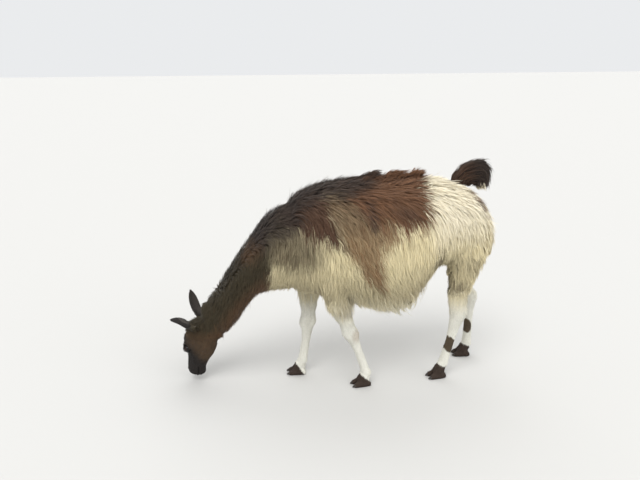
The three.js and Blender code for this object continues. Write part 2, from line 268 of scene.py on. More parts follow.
class LlamaColourSettings(bpy.types.PropertyGroup):
    cream: colour_setting("Cream", "Fleece of the flank and chest", 0xE3D6AE)
    white: colour_setting("White", "Fleece of the rump", 0xECE3CB)
    chestnut: colour_setting("Chestnut", "Patches on the back and shoulder", 0x523A2A)
    russet: colour_setting("Russet", "Reddish strands of the back, throat and cheek", 0x7D583D)
    umber: colour_setting("Umber", "The nearly black line of the back", 0x3C312A)
    neck: colour_setting("Neck", "Fleece of the neck", 0x3D3524)
    tan: colour_setting("Tan", "The band of mixed strands across the flank", 0x8A6C4A)
    # Drab is also the colour of the painted shade under the thigh, behind the elbow and on the
    # chest and belly.
    drab: colour_setting("Drab", "The grey-brown patch on the shoulder", 0x5F523E)
    face: colour_setting("Face", "Short hair of the muzzle and face", 0x1F1A17)
    ear: colour_setting("Ear", "Inside of the ears", 0x4C4641)
    leg: colour_setting("Leg", "Short hair of the legs", 0xDFDDD2)
    paw: colour_setting("Paw", "Short hair of the feet", 0x372B23)
    horn: colour_setting("Horn", "The nails", 0x2B2622)
    iris: colour_setting("Iris", "The iris of the eye", 0x1C110A)


# Colours that the settings leave alone: bare skin, the eye's rim, rays and pupil, and worn horn.
BARE_SKIN, EYE_RIM, IRIS_RAYS, PUPIL, WORN_HORN = 0x17120F, 0x0E0A08, 0x4A2A14, 0x05060A, 0x5A4E42
SKY_TINT = (0.97, 0.985, 1.0)
# Each light's name, the way it shines, how wide it looks in degrees and its share of the power.
LIGHTS = [
    ("key", (0.55, 1.0, -1.7), 35, 0.58),
    ("fill", (-1.0, 0.6, -1.2), 60, 0.30),
    ("rear", (-0.2, -1.0, -1.5), 50, 0.28),
]


class LlamaStageSettings(bpy.types.PropertyGroup):
    camera_place: bpy.props.FloatVectorProperty(
        name="Camera place",
        description="Where the camera stands",
        default=(-0.6332, -2.882, 1.66),
        size=3,
        subtype="TRANSLATION",
    )
    camera_aim: bpy.props.FloatVectorProperty(
        name="Camera aim",
        description="The direction in which the camera looks",
        default=(0.182, 0.937, -0.298),
        size=3,
        subtype="DIRECTION",
    )
    lens: bpy.props.FloatProperty(
        name="Lens", description="Focal length in millimetres", default=36.0, min=1.0, max=300.0
    )
    floor: colour_setting("Floor", "The plain floor", 0xC1C0BD)
    sky: bpy.props.FloatProperty(
        name="Sky", description="Strength of the even light", default=0.85, min=0.0
    )
    sun: bpy.props.FloatProperty(
        name="Sun", description="Strength of the directed lights", default=2.9, min=0.0
    )


# ---------- Shaders ----------
def solid(colour):
    return (*colour, 1.0)


def tone(name):
    """One of the settings' colours."""
    return solid(getattr(bpy.context.scene.llama_colours, name))


class Wire:
    """A node's output. Numbers add, multiply and compare as in Python, through Math nodes."""

    def __init__(self, tree, socket):
        self.tree = tree
        self.socket = socket

    def node(self, kind, settings=None, inputs=None, output=0):
        """A new node with these settings and inputs, as a wire from one of its outputs."""
        made = self.tree.nodes.new(kind)
        for name, value in (settings or {}).items():
            setattr(made, name, value)
        for name, value in (inputs or {}).items():
            if isinstance(value, Wire):
                self.tree.links.new(value.socket, made.inputs[name])
            else:
                made.inputs[name].default_value = value
        return Wire(self.tree, made.outputs[output])

    def math(self, operation, *values):
        return self.node("ShaderNodeMath", {"operation": operation}, dict(enumerate(values)))

    def __add__(self, other):
        return self.math("ADD", self, other)

    def __sub__(self, other):
        return self.math("SUBTRACT", self, other)

    def __rsub__(self, other):
        return self.math("SUBTRACT", other, self)

    def __mul__(self, other):
        return self.math("MULTIPLY", self, other)

    def __truediv__(self, other):
        return self.math("DIVIDE", self, other)

    def __pow__(self, other):
        return self.math("POWER", self, other)

    __radd__ = __add__
    __rmul__ = __mul__

    def larger(self, other):
        return self.math("MAXIMUM", self, other)

    def smaller(self, other):
        return self.math("MINIMUM", self, other)

    def size(self):
        return self.math("ABSOLUTE", self)

    def sine(self):
        return self.math("SINE", self)

    def ramp(self, low, high):
        """0 up to low and 1 from high, or the other way round."""
        if low > high:
            return 1 - self.ramp(high, low)
        inputs = {"Value": self, "From Min": low, "From Max": high}
        return self.node("ShaderNodeMapRange", {"interpolation_type": "SMOOTHSTEP"}, inputs)

    def noise(self, scale, detail=2.0):
        """Smooth noise over a place, from about -1 to 1."""
        inputs = {"Vector": self, "Scale": scale, "Detail": detail}
        return self.node("ShaderNodeTexNoise", {}, inputs) * 2.6 - 1.3

    def axes(self):
        """The three numbers of a place."""
        parts = self.node("ShaderNodeSeparateXYZ", {}, {"Vector": self})
        return [Wire(self.tree, parts.socket.node.outputs[k]) for k in range(3)]

    def stretched(self, beside, up):
        """A place, scaled by one number along x and y and by another along z."""
        x, y, z = self.axes()
        inputs = {"X": x * beside, "Y": y * beside, "Z": z * up}
        return self.node("ShaderNodeCombineXYZ", {}, inputs)

    def paint(self, colour):
        """One plain colour, given by its name in the settings or as a solid."""
        made = self.node("ShaderNodeRGB")
        made.socket.default_value = tone(colour) if isinstance(colour, str) else colour
        return made

    def mix(self, factor, other):
        """This colour where factor is 0, and the other, perhaps by its name, where it is 1."""
        inputs = {0: factor, 6: self, 7: tone(other) if isinstance(other, str) else other}
        return self.node("ShaderNodeMix", {"data_type": "RGBA"}, inputs, 2)

    def shade(self, factor):
        """This colour, made lighter or darker by a number."""
        channels = dict.fromkeys(("Red", "Green", "Blue"), factor)
        grey = self.node("ShaderNodeCombineColor", {}, channels)
        settings = {"data_type": "RGBA", "blend_type": "MULTIPLY"}
        return self.node("ShaderNodeMix", settings, {0: 1.0, 6: self, 7: grey}, 2)


def new_material(name, **constants):
    """A material with its Principled shader, given these constants, and a wire to start from."""
    material = bpy.data.materials.new(name)
    material.use_nodes = True
    surface = material.node_tree.nodes["Principled BSDF"]
    for socket, value in constants.items():
        surface.inputs[socket.replace("_", " ")].default_value = value
    return material, surface, Wire(material.node_tree, None)


def attribute(start, name):
    return start.node("ShaderNodeAttribute", {"attribute_name": name}, {}, 1)


def connect(surface, socket, wire):
    wire.tree.links.new(wire.socket, surface.inputs[socket])


def connect_bump(surface, height, strength, distance):
    """Bumps as high as distance, on the surface's normal."""
    inputs = {"Height": height, "Strength": strength, "Distance": distance}
    connect(surface, "Normal", height.node("ShaderNodeBump", {}, inputs))


# ---------- Markings ----------
# Soft oval spots: their middle (x, z), radii, lean, edge, core and strength. From the edge to the
# core, as shares of the radii, a spot grows to its strength.
SPOTS = {
    "shoulder": ((-0.230, 0.750), (0.150, 0.118), -0.1, 1.25, 0.45, 1.0),
    "withers": ((-0.285, 0.900), (0.110, 0.110), 0.0, 1.15, 0.7, 1.0),
    "back streak": ((0.132, 0.905), (0.022, 0.070), 0.12, 1.3, 0.6, 0.75),
    "loin streak": ((0.300, 0.895), (0.070, 0.035), -0.3, 1.3, 0.4, 0.50),
    "pale": ((0.205, 0.880), (0.045, 0.055), 0.3, 1.2, 0.4, 1.0),
    "crest": ((-0.415, 0.735), (0.050, 0.090), -0.7, 1.3, 0.4, 0.35),
    "nape": ((-0.370, 0.860), (0.120, 0.120), 0.0, 1.3, 0.5, 1.0),
    # Painted shade: the spots from here to the elbow darken the coat under the thigh, in the fold
    # of the flank, below the hem of the thigh's fleece, on the buttock and behind the elbow.
    "under thigh": ((0.560, 0.620), (0.130, 0.060), -0.35, 1.2, 0.3, 0.38),
    "flank fold": ((0.466, 0.660), (0.028, 0.060), 0.2, 1.4, 0.4, 0.90),
    "thigh hem": ((0.545, 0.512), (0.070, 0.040), 0.0, 1.4, 0.5, 0.80),
    "buttock": ((0.640, 0.630), (0.035, 0.050), 0.4, 1.4, 0.4, 0.55),
    "elbow": ((0.020, 0.440), (0.060, 0.060), 0.0, 1.3, 0.3, 0.35),
}
# The spots that are painted shade.
PAINTED_SHADE_SPOTS = ("under thigh", "flank fold", "thigh hem", "buttock", "elbow")
ELSEWHERE = 9  # more than any oval's radius, to keep a spot off the other side
HEAD_START = (-0.50, -0.53)  # the x at which the head begins and is whole


def oval(x, z, centre, radii, lean=0.0):
    """How far a place is from the middle of an oval, with 1 on its edge."""
    cos, sin = math.cos(lean), math.sin(lean)
    dx = x - centre[0]
    dz = z - centre[1]
    across = (dx * cos + dz * sin) / radii[0]
    upward = (dz * cos - dx * sin) / radii[1]
    return (across * across + upward * upward) ** 0.5


class Ground:
    """A place on the coat: where it is, where it is among the patches, and its noises."""

    def __init__(self, place):
        self.paint = place.paint
        self.x, self.y, self.z = place.axes()
        broad = place.noise(4.0)
        self.fine = place.noise(15.0)
        self.grain = place.noise(60.0, 3.0)
        self.streaks = place.stretched(34, 8).noise(1.0)
        # On the right side the patches lie a little further back and lower.
        self.right = self.y.ramp(-0.06, 0.08)
        self.px = self.x - self.right * 0.07 + broad * 0.008 + self.fine * 0.007
        self.pz = self.z + self.right * 0.035 + broad * 0.008 + self.fine * 0.009

    def spot(self, name):
        centre, radii, lean, edge, core, strength = SPOTS[name]
        return oval(self.px, self.pz, centre, radii, lean).ramp(edge, core) * strength


def flank(ground):
    """Cream and white, with the drab patch of the shoulder, the tan band behind it, and painted
    shade on the chest and belly.
    """
    px, pz, fine, grain = ground.px, ground.pz, ground.fine, ground.grain
    rump = px.ramp(0.36, 0.46) * pz.ramp(0.66, 0.90)
    colour = ground.paint("cream").mix(rump, "white")
    colour = colour.mix(grain.ramp(0.1, 1.0) * (1 - rump * 0.6) * 0.35, "tan")
    drab = ground.spot("shoulder")
    colour = colour.mix(drab * (0.85 + grain * 0.30), "drab")
    dark_streaks = ground.streaks.ramp(0.0, 0.8) * pz.ramp(0.70, 0.80)
    colour = colour.mix(drab * dark_streaks * 0.55, "umber")
    front = (-0.002 - (pz - 0.773) * 0.40).larger((0.75 - pz) * 0.75)
    rear = 0.165 + (0.75 - pz) * 0.15 + pz.ramp(0.72, 0.82) * 0.10
    ragged = grain * 0.008
    band = (px - front + ragged).ramp(-0.012, 0.014) * (rear - px + ragged).ramp(-0.015, 0.02)
    band = band * pz.ramp(0.50, 0.57)
    colour = colour.mix(band * (0.82 + fine * 0.22 + grain * 0.25), "tan")
    wisps = band * pz.ramp(0.88, 0.72) * (grain * 0.7 + fine * 0.5).ramp(-0.2, 0.7)
    colour = colour.mix(wisps * 0.75, "russet")
    colour = colour.mix(band * pz.ramp(0.78, 0.90) * (0.58 + grain * 0.3), "chestnut")
    # Painted shade: the chest and belly grow darker towards drab below the flank.
    return colour.mix(pz.ramp(0.70, 0.50) * px.ramp(0.50, 0.40) * 0.46, "drab")


def back_patches(ground, colour):
    """The chestnut patches of the shoulder and the back, and the dark line from the withers."""
    px, pz, fine, grain = ground.px, ground.pz, ground.fine, ground.grain
    upper = (pz - 0.768 + px * 0.34 + grain * 0.010).ramp(-0.014, 0.016)
    upper = upper * (-0.004 - px - (pz - 0.773) * 0.36 + grain * 0.008).ramp(-0.014, 0.014)
    upper = upper * px.ramp(-0.36, -0.30)
    saddle = (px - 0.030 - (0.967 - pz) * 0.90 + grain * 0.010).ramp(-0.02, 0.02)
    saddle = saddle * (0.412 - px + (pz - 0.93) * 0.06).ramp(-0.004, 0.008)
    scallop = px.ramp(0.02, 0.12) * px.ramp(0.30, 0.20) * 0.050
    hem = 0.806 + (px - 0.2).larger(0) * 0.22 + scallop
    saddle = saddle * (pz - hem + grain * 0.020 + fine * 0.012).ramp(-0.02, 0.02)
    brown = upper.larger(saddle)
    patch = ground.paint("chestnut")
    reddish = (grain * 0.5 + fine * 0.4 + saddle * 0.85).ramp(0.0, 1.3)
    patch = patch.mix(reddish * 0.95, "russet")
    patch = patch.mix((fine - grain * 0.5).ramp(0.40, 1.0) * 0.6, "umber")
    colour = colour.mix(brown, patch)
    line = 0.963 + (px - 0.02).larger(0) * 0.32 - px.ramp(-0.06, -0.24) * 0.05
    dark = (pz - line + grain * 0.012 + fine * 0.010).ramp(-0.016, 0.022) * px.ramp(0.24, 0.12)
    dark = dark.larger(ground.spot("withers"))
    dark = dark.larger(ground.spot("back streak").larger(ground.spot("loin streak")))
    pale = ground.spot("pale") * brown
    colour = colour.mix(pale * (fine * 0.5 + grain * 0.6).ramp(-0.3, 0.7) * 0.65, "tan")
    return colour.mix(dark * (0.92 + grain * 0.15), "umber")


def neck_hair(ground, colour):
    """The neck is dark above and a little warmer to the throat."""
    px, pz, grain = ground.px, ground.pz, ground.grain
    soft = 1 + pz.ramp(0.66, 0.74) * 2.0
    neck = ((-0.330 - px + (pz - 0.60) * 0.10 + grain * 0.012) / soft).ramp(-0.014, 0.014)
    throat = (px - pz + 0.98 + ground.fine * 0.014).ramp(-0.03, 0.10) * px.ramp(-0.30, -0.36)
    hair = ground.paint("neck").mix(throat * 0.46 + grain.ramp(-0.2, 1.0) * 0.08, "russet")
    hair = hair.mix(ground.spot("crest"), "russet")
    hair = hair.mix(grain.ramp(0.2, 1.0) * 0.15, "tan")
    return colour.mix(neck, hair.mix(ground.spot("nape"), "umber"))


def leg_hair(ground, colour):
    """The legs are white below the fleece, with patches on the hind cannons and dark feet, and
    painted shade in drab under the thigh and behind the elbow.
    """
    x, z, fine, grain, right = ground.x, ground.z, ground.fine, ground.grain, ground.right
    leg = (z + fine * 0.015).ramp(0.53, 0.44) * x.ramp(-0.30, -0.24)
    hair = ground.paint("leg").mix(z.ramp(0.33, 0.48) * 0.75, "cream")
    knee = oval(x, z, (0.083, 0.287), (0.030, 0.045)).ramp(1.2, 0.3) * 0.45
    hair = hair.mix(knee * (0.8 + grain * 0.3), "tan")
    left_patch = oval(x, z, (0.572, 0.187), (0.034, 0.050), 0.55) + right * ELSEWHERE
    right_patch = oval(x, z, (0.755, 0.180), (0.026, 0.042), 0.2) + (1 - right) * ELSEWHERE
    patch = (left_patch.smaller(right_patch) + grain * 0.10).ramp(1.10, 0.90)
    hair = hair.mix(patch, ground.paint("paw").mix(0.45 + grain * 0.2, "drab"))
    fore = x.ramp(0.30, 0.25)
    far = ground.y.ramp(-0.02, 0.02)
    hind_sock = z - 0.068 + (x - 0.54 - far * 0.215) * 0.30
    fore_sock = z - 0.050 + far * 0.010 + (x - 0.129 + far * 0.301) * (0.75 + far * 0.80)
    sock = fore * fore_sock + (1 - fore) * hind_sock
    sock = (sock + grain * 0.006 + fine * 0.004).ramp(0.005, -0.005)
    colour = colour.mix(leg, hair.mix(sock, "paw"))
    # Painted shade in drab under the thigh, in the flank's fold, below the thigh's hem, on the
    # buttock and behind the elbow, half as strong on the right side.
    shade = reduce(Wire.larger, [ground.spot(name) for name in PAINTED_SHADE_SPOTS])
    return colour.mix(shade * (0.9 + grain * 0.3) * (1 - right * 0.5), "drab")


def tail_hair(ground, colour, on_tail):
    """A narrow stripe on the buttock below the tail, which is dark and reddish at its root."""
    x, z, grain = ground.x, ground.z, ground.grain
    stripe = (x - 0.686 + (z - 0.95) * 0.35 + ground.fine * 0.006).size().ramp(0.028, 0.012)
    stripe = stripe * z.ramp(0.870, 0.895) * z.ramp(1.010, 1.000) * ground.y.ramp(-0.030, -0.055)
    colour = colour.mix(stripe, ground.paint("chestnut").mix(0.45 + grain * 0.3, "russet"))
    root = (x + (z - 1.0) * 0.4 + grain * 0.02).ramp(0.71, 0.64)
    return colour.mix(on_tail, ground.paint("umber").mix(root * 0.80, "chestnut"))


def face_hair(ground, colour):
    """The face is dark to the lips, warmer over cheek and jaw, with a painted highlight of tan on
    the brow, under a brown collar of fleece.
    """
    x, y, fine, grain = ground.x, ground.y, ground.fine, ground.grain
    down = POLL[2] - ground.z
    out = (x - POLL[0]) * float(FACE_OUT[0]) + (y - POLL[1]) * float(FACE_OUT[1])
    head = x.ramp(*HEAD_START) * down.ramp(COLLAR - 0.020, COLLAR - 0.005)
    cheek = (0.004 - out - (down - 0.16) * 0.6 + fine * 0.012).ramp(-0.03, 0.05)
    cheek = cheek * down.ramp(0.27, 0.19)
    hair = ground.paint("face").mix(cheek * (0.80 + fine * 0.15), "neck")
    hair = hair.mix(cheek * (0.22 + grain * 0.12), "russet")
    # Painted highlight: the front of the face at the brow is made lighter with tan.
    brow = (down - 0.125).size().ramp(0.04, 0.0) * out.ramp(0.04, 0.07)
    hair = hair.mix(brow * 0.25, "tan")
    collar = x.ramp(*HEAD_START) * down.ramp(COLLAR - 0.07, COLLAR - 0.03)
    return colour.mix(collar * (0.20 + grain * 0.1), "russet").mix(head, hair)


def markings(place, zone):
    """The colour of the coat at a place on the skin, for the skin and the strands alike."""
    on_tail, on_ear, in_ear = zone.axes()
    ground = Ground(place)
    colour = flank(ground)
    for lay in (back_patches, neck_hair, leg_hair):
        colour = lay(ground, colour)
    colour = face_hair(ground, tail_hair(ground, colour, on_tail))
    colour = colour.shade(1 + ground.streaks * 0.10)
    ear = ground.paint("face").mix(in_ear * (0.80 + ground.grain * 0.1), "ear")
    return colour.mix(on_ear, ear)


def fleece_material():
    """The coat's material: markings at the strand's place, with painted shade at the roots and
    sun-bleached, lighter tips.
    """
    material, surface, start = new_material(
        "coat_hair",
        Roughness=0.72, Specular_IOR_Level=0.25, Sheen_Weight=0.12, Sheen_Roughness=0.5,
    )
    along, across, chance = attribute(start, "strand").axes()
    colour = markings(attribute(start, "place"), attribute(start, "zone"))
    # Painted shade: each strand is darker at its root, where the coat shades it; its tip is
    # lighter, as sun-bleached hair is, and each strand differs a little at random.
    connect(surface, "Base Color", colour.shade(0.81 + along * 0.15 + chance * 0.18))
    hairs = (across * 9 + chance * 40).sine()
    connect_bump(surface, hairs, 0.35, 0.0004)
    return material


def skin_material():
    """The skin's material: the same markings, with the short hair as fine streaks and bumps."""
    material, surface, start = new_material("skin_hair", Specular_IOR_Level=0.3)
    place = start.node("ShaderNodeNewGeometry")
    inputs = {"Vector": place.stretched(420, 110), "Scale": 1.0, "Detail": 3.0}
    hairs = start.node("ShaderNodeTexNoise", {}, inputs)
    bare = attribute(start, "bare").axes()[0]
    colour = markings(place, attribute(start, "zone")).shade(0.70 + hairs * 0.5)
    connect(surface, "Base Color", colour.mix(bare, solid(linear(BARE_SKIN))))
    connect(surface, "Roughness", 0.78 - bare * 0.36)
    connect_bump(surface, hairs, 0.5, 0.0012)
    return material


def eye_material():
    """A glossy eye: a dark rim, a brown iris with rays, and a level pupil."""
    material, surface, start = new_material("eye_gloss", Roughness=0.06, IOR=1.35)
    place = attribute(start, "gaze")
    u, v, _ = place.axes()
    spread = (u * u + v * v) ** 0.5
    pupil = ((u / 0.36) * (u / 0.36) + (v / 0.15) * (v / 0.15)).ramp(1.15, 0.85)
    rays = place.noise(9.0, 4.0)
    colour = place.paint(solid(linear(EYE_RIM))).mix(spread.ramp(0.74, 0.66), "iris")
    bright = spread.ramp(0.70, 0.35) * rays.ramp(-0.6, 1.0) * 0.5
    colour = colour.mix(bright, solid(linear(IRIS_RAYS)))
    connect(surface, "Base Color", colour.mix(pupil, solid(linear(PUPIL))))
    return material


def nail_material():
    """Dark horn with paler, worn grain."""
    material, surface, start = new_material("nail_horn")
    place = start.node("ShaderNodeNewGeometry")
    grain = place.noise(90.0, 3.0)
    worn = place.paint("horn").mix(grain.ramp(-0.4, 1.0) * 0.4, solid(linear(WORN_HORN)))
    connect(surface, "Base Color", worn)
    connect(surface, "Roughness", 0.42 + grain * 0.1)
    connect_bump(surface, grain, 0.4, 0.0005)
    return material


# ---------- Meshes ----------
def link(name, mesh, material=None):
    """A new object in the scene for a mesh."""
    made = bpy.data.objects.new(name, mesh)
    bpy.context.scene.collection.objects.link(made)
    if material:
        mesh.materials.append(material)
    return made


@contextmanager
def edited(mesh):
    """A mesh, open to change its points and faces, and written back at the end."""
    shape = bmesh.new()
    shape.from_mesh(mesh)
    shape.verts.ensure_lookup_table()
    yield shape
    shape.to_mesh(mesh)
    shape.free()
    mesh.update()


def joined(nodes):
    """One mesh of the nodes' meshes, cut down to the back's line where locks stand up from it."""
    mesh = bpy.data.meshes.new("joined")
    with edited(mesh) as whole:
        for name in nodes:
            whole.from_mesh(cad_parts[name].data)
            if name == "trunk":
                for vertex in whole.verts:
                    top = float(np.interp(vertex.co.x, *zip(*BACK_LINE)))
                    vertex.co.z = min(vertex.co.z, top)
    return mesh


def modified(mesh, kind, **settings):
    """The mesh that one modifier makes of a mesh."""
    thing = link("shaping", mesh)
    if "vertex_group" in settings:
        group = thing.vertex_groups.new(name=settings["vertex_group"])
        weights = settings.pop("weights")
        for index in np.flatnonzero(weights > 0.5):
            group.add([int(index)], 1.0, "REPLACE")
    modifier = thing.modifiers.new("shape", kind)
    for name, value in settings.items():
        setattr(modifier, name, value)
    bpy.context.view_layer.update()
    graph = bpy.context.evaluated_depsgraph_get()
    result = bpy.data.meshes.new_from_object(thing.evaluated_get(graph))
    bpy.data.objects.remove(thing)
    bpy.data.meshes.remove(mesh)
    return result


def vectors_of(layer, name):
    vectors = np.empty(len(layer) * 3, np.float32)
    layer.foreach_get(name, vectors)
    return vectors.reshape(-1, 3).astype(float)


def points_of(mesh):
    return vectors_of(mesh.vertices, "co")


def normals_of(mesh):
    return vectors_of(mesh.vertex_normals, "vector")


def place_points(mesh, points):
    mesh.vertices.foreach_set("co", points.astype(np.float32).ravel())
    mesh.update()


def add_vectors(mesh, name, values):
    layer = mesh.attributes.new(name, "FLOAT_VECTOR", "POINT")
    layer.data.foreach_set("vector", np.ascontiguousarray(values, np.float32).ravel())


def triangles_of(mesh):
    mesh.calc_loop_triangles()
    corners = np.empty(len(mesh.loop_triangles) * 3, np.int32)
    mesh.loop_triangles.foreach_get("vertices", corners)
    return corners.reshape(-1, 3)


class Net:
    """The edges between a mesh's points, along which values are smoothed."""

    def __init__(self, mesh):
        ends = np.empty(len(mesh.edges) * 2, np.int32)
        mesh.edges.foreach_get("vertices", ends)
        self.one, self.other = ends[::2], ends[1::2]
        self.count = len(mesh.vertices)
        self.start = np.concatenate([self.one, self.other])
        self.end = np.concatenate([self.other, self.one])
        self.degree = np.maximum(np.bincount(self.start, minlength=self.count), 1)

    def mean(self, values):
        """Each point's mean over its neighbours."""
        columns = values.reshape(self.count, -1).T
        sums = [np.bincount(self.start, column[self.end], self.count) for column in columns]
        return (np.stack(sums, 1) / self.degree[:, None]).reshape(values.shape)

    def smooth(self, values, times, share=0.5):
        """Moves values towards their neighbours' mean, by one share or by one for each point."""
        if np.ndim(share):
            share = np.reshape(share, (-1, *[1] * (values.ndim - 1)))
        for _ in range(times):
            values = values + share * (self.mean(values) - values)
        return values

    def fair(self, points, times):
        """Smooths points and keeps the volume."""
        for _ in range(times):
            points = self.smooth(points, times=1, share=0.5)
            points = self.smooth(points, times=1, share=-0.52)
        return points

    def largest_island(self):
        """True for the points of the largest connected part."""
        mark = np.arange(self.count)
        while True:
            low = np.minimum(mark[self.one], mark[self.other])
            lower = mark.copy()
            np.minimum.at(lower, self.one, low)
            np.minimum.at(lower, self.other, low)
            lower = lower[lower]
            if np.array_equal(lower, mark):
                return mark == np.bincount(mark).argmax()
            mark = lower


def nearest_regions(points):
    """The region of the nodes' face nearest to each point, and the distance to it."""
    corners, faces, region = [], [], []
    for index, nodes in enumerate(REGIONS.values()):
        for name in nodes:
            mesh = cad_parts[name].data
            first = len(corners)
            corners += [vertex.co.copy() for vertex in mesh.vertices]
            faces += [[first + v for v in polygon.vertices] for polygon in mesh.polygons]
            region += [index] * len(mesh.polygons)
    tree = BVHTree.FromPolygons(corners, faces)
    found = [tree.find_nearest(point) for point in points]
    return np.array(region)[[hit[2] for hit in found]], np.array([hit[3] for hit in found])


# ---------- The skin's shape ----------
def eye_axes(gaze, down, out):
    """Along the lids, up across them and out of the pupil."""
    level = unit(down - gaze * (down @ gaze))
    above = np.cross(level, gaze)
    return level, (above if above @ out > 0 else -above), gaze


def eye_directions(side):
    mirror = [1, 1 if side == "left" else -1, 1]
    return eye_axes(unit((GAZE * mirror) @ FACE), FACE_DOWN, FACE_OUT)


def sculpt_eyes(points):
    """Lids that close over the eyeball, with an almond-shaped opening, a rim and a fold above."""
    down, _, out = np.eye(3)
    level, above, gaze = eye_axes(unit(GAZE), down, out)
    offset = in_head(points)
    offset[:, 1] = np.abs(offset[:, 1])
    offset -= [EYE_DOWN, EYE_SIDE, EYE_OUT]
    u, v, w = offset @ level, offset @ above, offset @ gaze
    spread = np.hypot(u, v)
    lid_radius = EYE_RADIUS + LID
    lid = np.sqrt(np.maximum(lid_radius**2 - spread**2, (0.30 * lid_radius) ** 2))
    near = ramp(spread, 0.026, 0.0165) * (w > -0.004)
    opening = (u / OPENING[0]) ** 2 + ((v + 0.0006) / OPENING[1]) ** 2
    lid = lid - 0.0050 * ramp(opening, 1.05, 0.80)
    lid = lid + 0.0009 * bell(np.sqrt(opening), 1.14, 0.10)
    lid = lid - 0.0014 * bell(np.sqrt(opening), 1.62, 0.12) * ramp(v, 0.0, 0.006)
    target = w + near * (lid - w)
    brow = bell(u, 0.0, 0.020) * bell(v, 0.021, 0.007) * (w > -0.01)
    target = target + 0.0025 * brow
    bare = ramp(opening, 1.75, 1.25) * near
    return (target - w)[:, None] * gaze, bare


def sculpt_head(points, normals):
    """The skin with lids, nostrils, mouth, split lip, chin and jaw, and how bare it is."""
    local = in_head(points)
    side = np.sign(local[:, 1])
    local[:, 1] = np.abs(local[:, 1])
    down, across, out = local.T
    in_front = (down > 0.02) & (down < 0.36)

    moved, bare_lids = sculpt_eyes(points)
    moved[:, 1] *= side
    points = points + (moved @ FACE) * in_front[:, None]

    slit = distance_to_segment(local, (0.3050, 0.0095, 0.0470), (0.2810, 0.0250, 0.0515))
    nostril = -0.0095 * bell(slit, 0, 0.0033) + 0.0028 * bell(slit, 0.0080, 0.0032)
    mouth_level = -0.004 - 0.16 * (0.325 - down) + 3.2 * np.maximum(0.285 - down, 0) ** 2
    from_mouth = out - mouth_level
    reach = ramp(down, 0.246, 0.262)
    lips = 0.0022 * bell(np.abs(from_mouth), 0.0072, 0.0038)
    mouth = (-0.0045 * bell(from_mouth, 0, 0.0019) + lips) * reach
    split = -0.0036 * bell(across, 0, 0.0018)
    split = split * ramp(down, 0.285, 0.300) * ramp(from_mouth, -0.001, 0.002)
    chin = 0.0030 * bell(down, 0.297, 0.014) * bell(out, -0.026, 0.010)
    whisker_pad = 0.0034 * bell(down, 0.282, 0.018) * bell(out, 0.022, 0.014)
    whisker_pad = whisker_pad * ramp(across, 0.015, 0.028)
    jaw = 0.0032 * bell(out + 0.075 - (down - 0.10) * 0.45, 0, 0.010)
    jaw = jaw * ramp(down, 0.07, 0.10) * ramp(down, 0.23, 0.19)
    crest_line = distance_to_segment(local, (0.175, 0.050, 0.012), (0.235, 0.034, 0.010))
    crest = 0.0036 * bell(crest_line, 0, 0.008)
    hollow_line = distance_to_segment(local, (0.178, 0.040, 0.045), (0.235, 0.030, 0.042))
    hollow = -0.0040 * bell(hollow_line, 0, 0.009)
    push = (nostril + mouth + split + chin + whisker_pad + jaw + crest + hollow) * in_front
    bare = np.maximum(bell(slit, 0, 0.0060), bell(from_mouth, 0, 0.0034) * reach)
    bare = np.maximum(bare, bare_lids)
    return points + push[:, None] * normals, np.clip(bare, 0, 1) * in_front


def sculpt_legs(points, normals):
    """Knees, hocks, tendons and fetlocks, and the cleft between the toes of each foot."""
    push = np.zeros(len(points))
    drawn = np.zeros_like(points)
    z = points[:, 2]
    for foot, line in LEG_LINES.items():
        way, _, spots = nearest_on_line(points, leg_line(foot))
        offset = points - spots
        radius = np.maximum(np.linalg.norm(offset, axis=1), 1e-6)
        near = (radius < 0.085) & (z < 0.45)
        front = dot(offset, unit(way * way[:, :1] - BACK)) / radius
        beside = np.abs(offset[:, 1]) / radius
        height = z - line[2][2]
        if foot.startswith("front"):
            shape = 0.0095 * bell(height, 0.004, 0.030) * ramp(front, 0.0, 0.8)
            shape += 0.0055 * bell(height, 0.008, 0.024) * ramp(-front, 0.2, 0.8)
            shape -= 0.0030 * bell(height, 0.060, 0.022) * ramp(np.abs(front), 0.2, 0.9)
        else:
            shape = 0.0075 * bell(height, 0.024, 0.022) * ramp(-front, 0.3, 0.9)
            shape -= 0.0050 * bell(height, 0.075, 0.032) * ramp(beside, 0.5, 0.95)
            shape += 0.0030 * bell(height, -0.004, 0.026) * ramp(beside, 0.4, 0.9)
        cannon = ramp(height, -0.030, -0.060) * ramp(z, 0.085, 0.110)
        shape += (0.0016 * np.abs(front) - 0.0022 * bell(front, -0.15, 0.25)) * cannon
        shape += 0.0022 * bell(z, 0.074, 0.016) * ramp(np.abs(front), 0.0, 0.8)
        inner, outer = (middle(f"nail_{foot}_{toe}") for toe in ("inner", "outer"))
        apart = unit((outer - inner) * [1, 1, 0])
        ahead = np.cross(UP, apart)
        ahead = ahead if ahead @ (inner - middle(f"foot_{foot}")) > 0 else -ahead
        from_nails = points - (inner + outer) / 2
        across, forward = from_nails @ apart, from_nails @ ahead
        toes = ramp(forward, -0.066, -0.045) * ramp(z, 0.060, 0.044)
        shape -= 0.0075 * bell(across, 0, 0.0038) * toes
        shape += 0.0020 * bell(np.abs(across), 0.019, 0.009) * toes
        push += shape * near
        to_nails = 0.017 * ramp(forward, -0.052, -0.012) * near * ramp(z, 0.052, 0.016)
        drawn += to_nails[:, None] * ahead
    return points + push[:, None] * normals + drawn


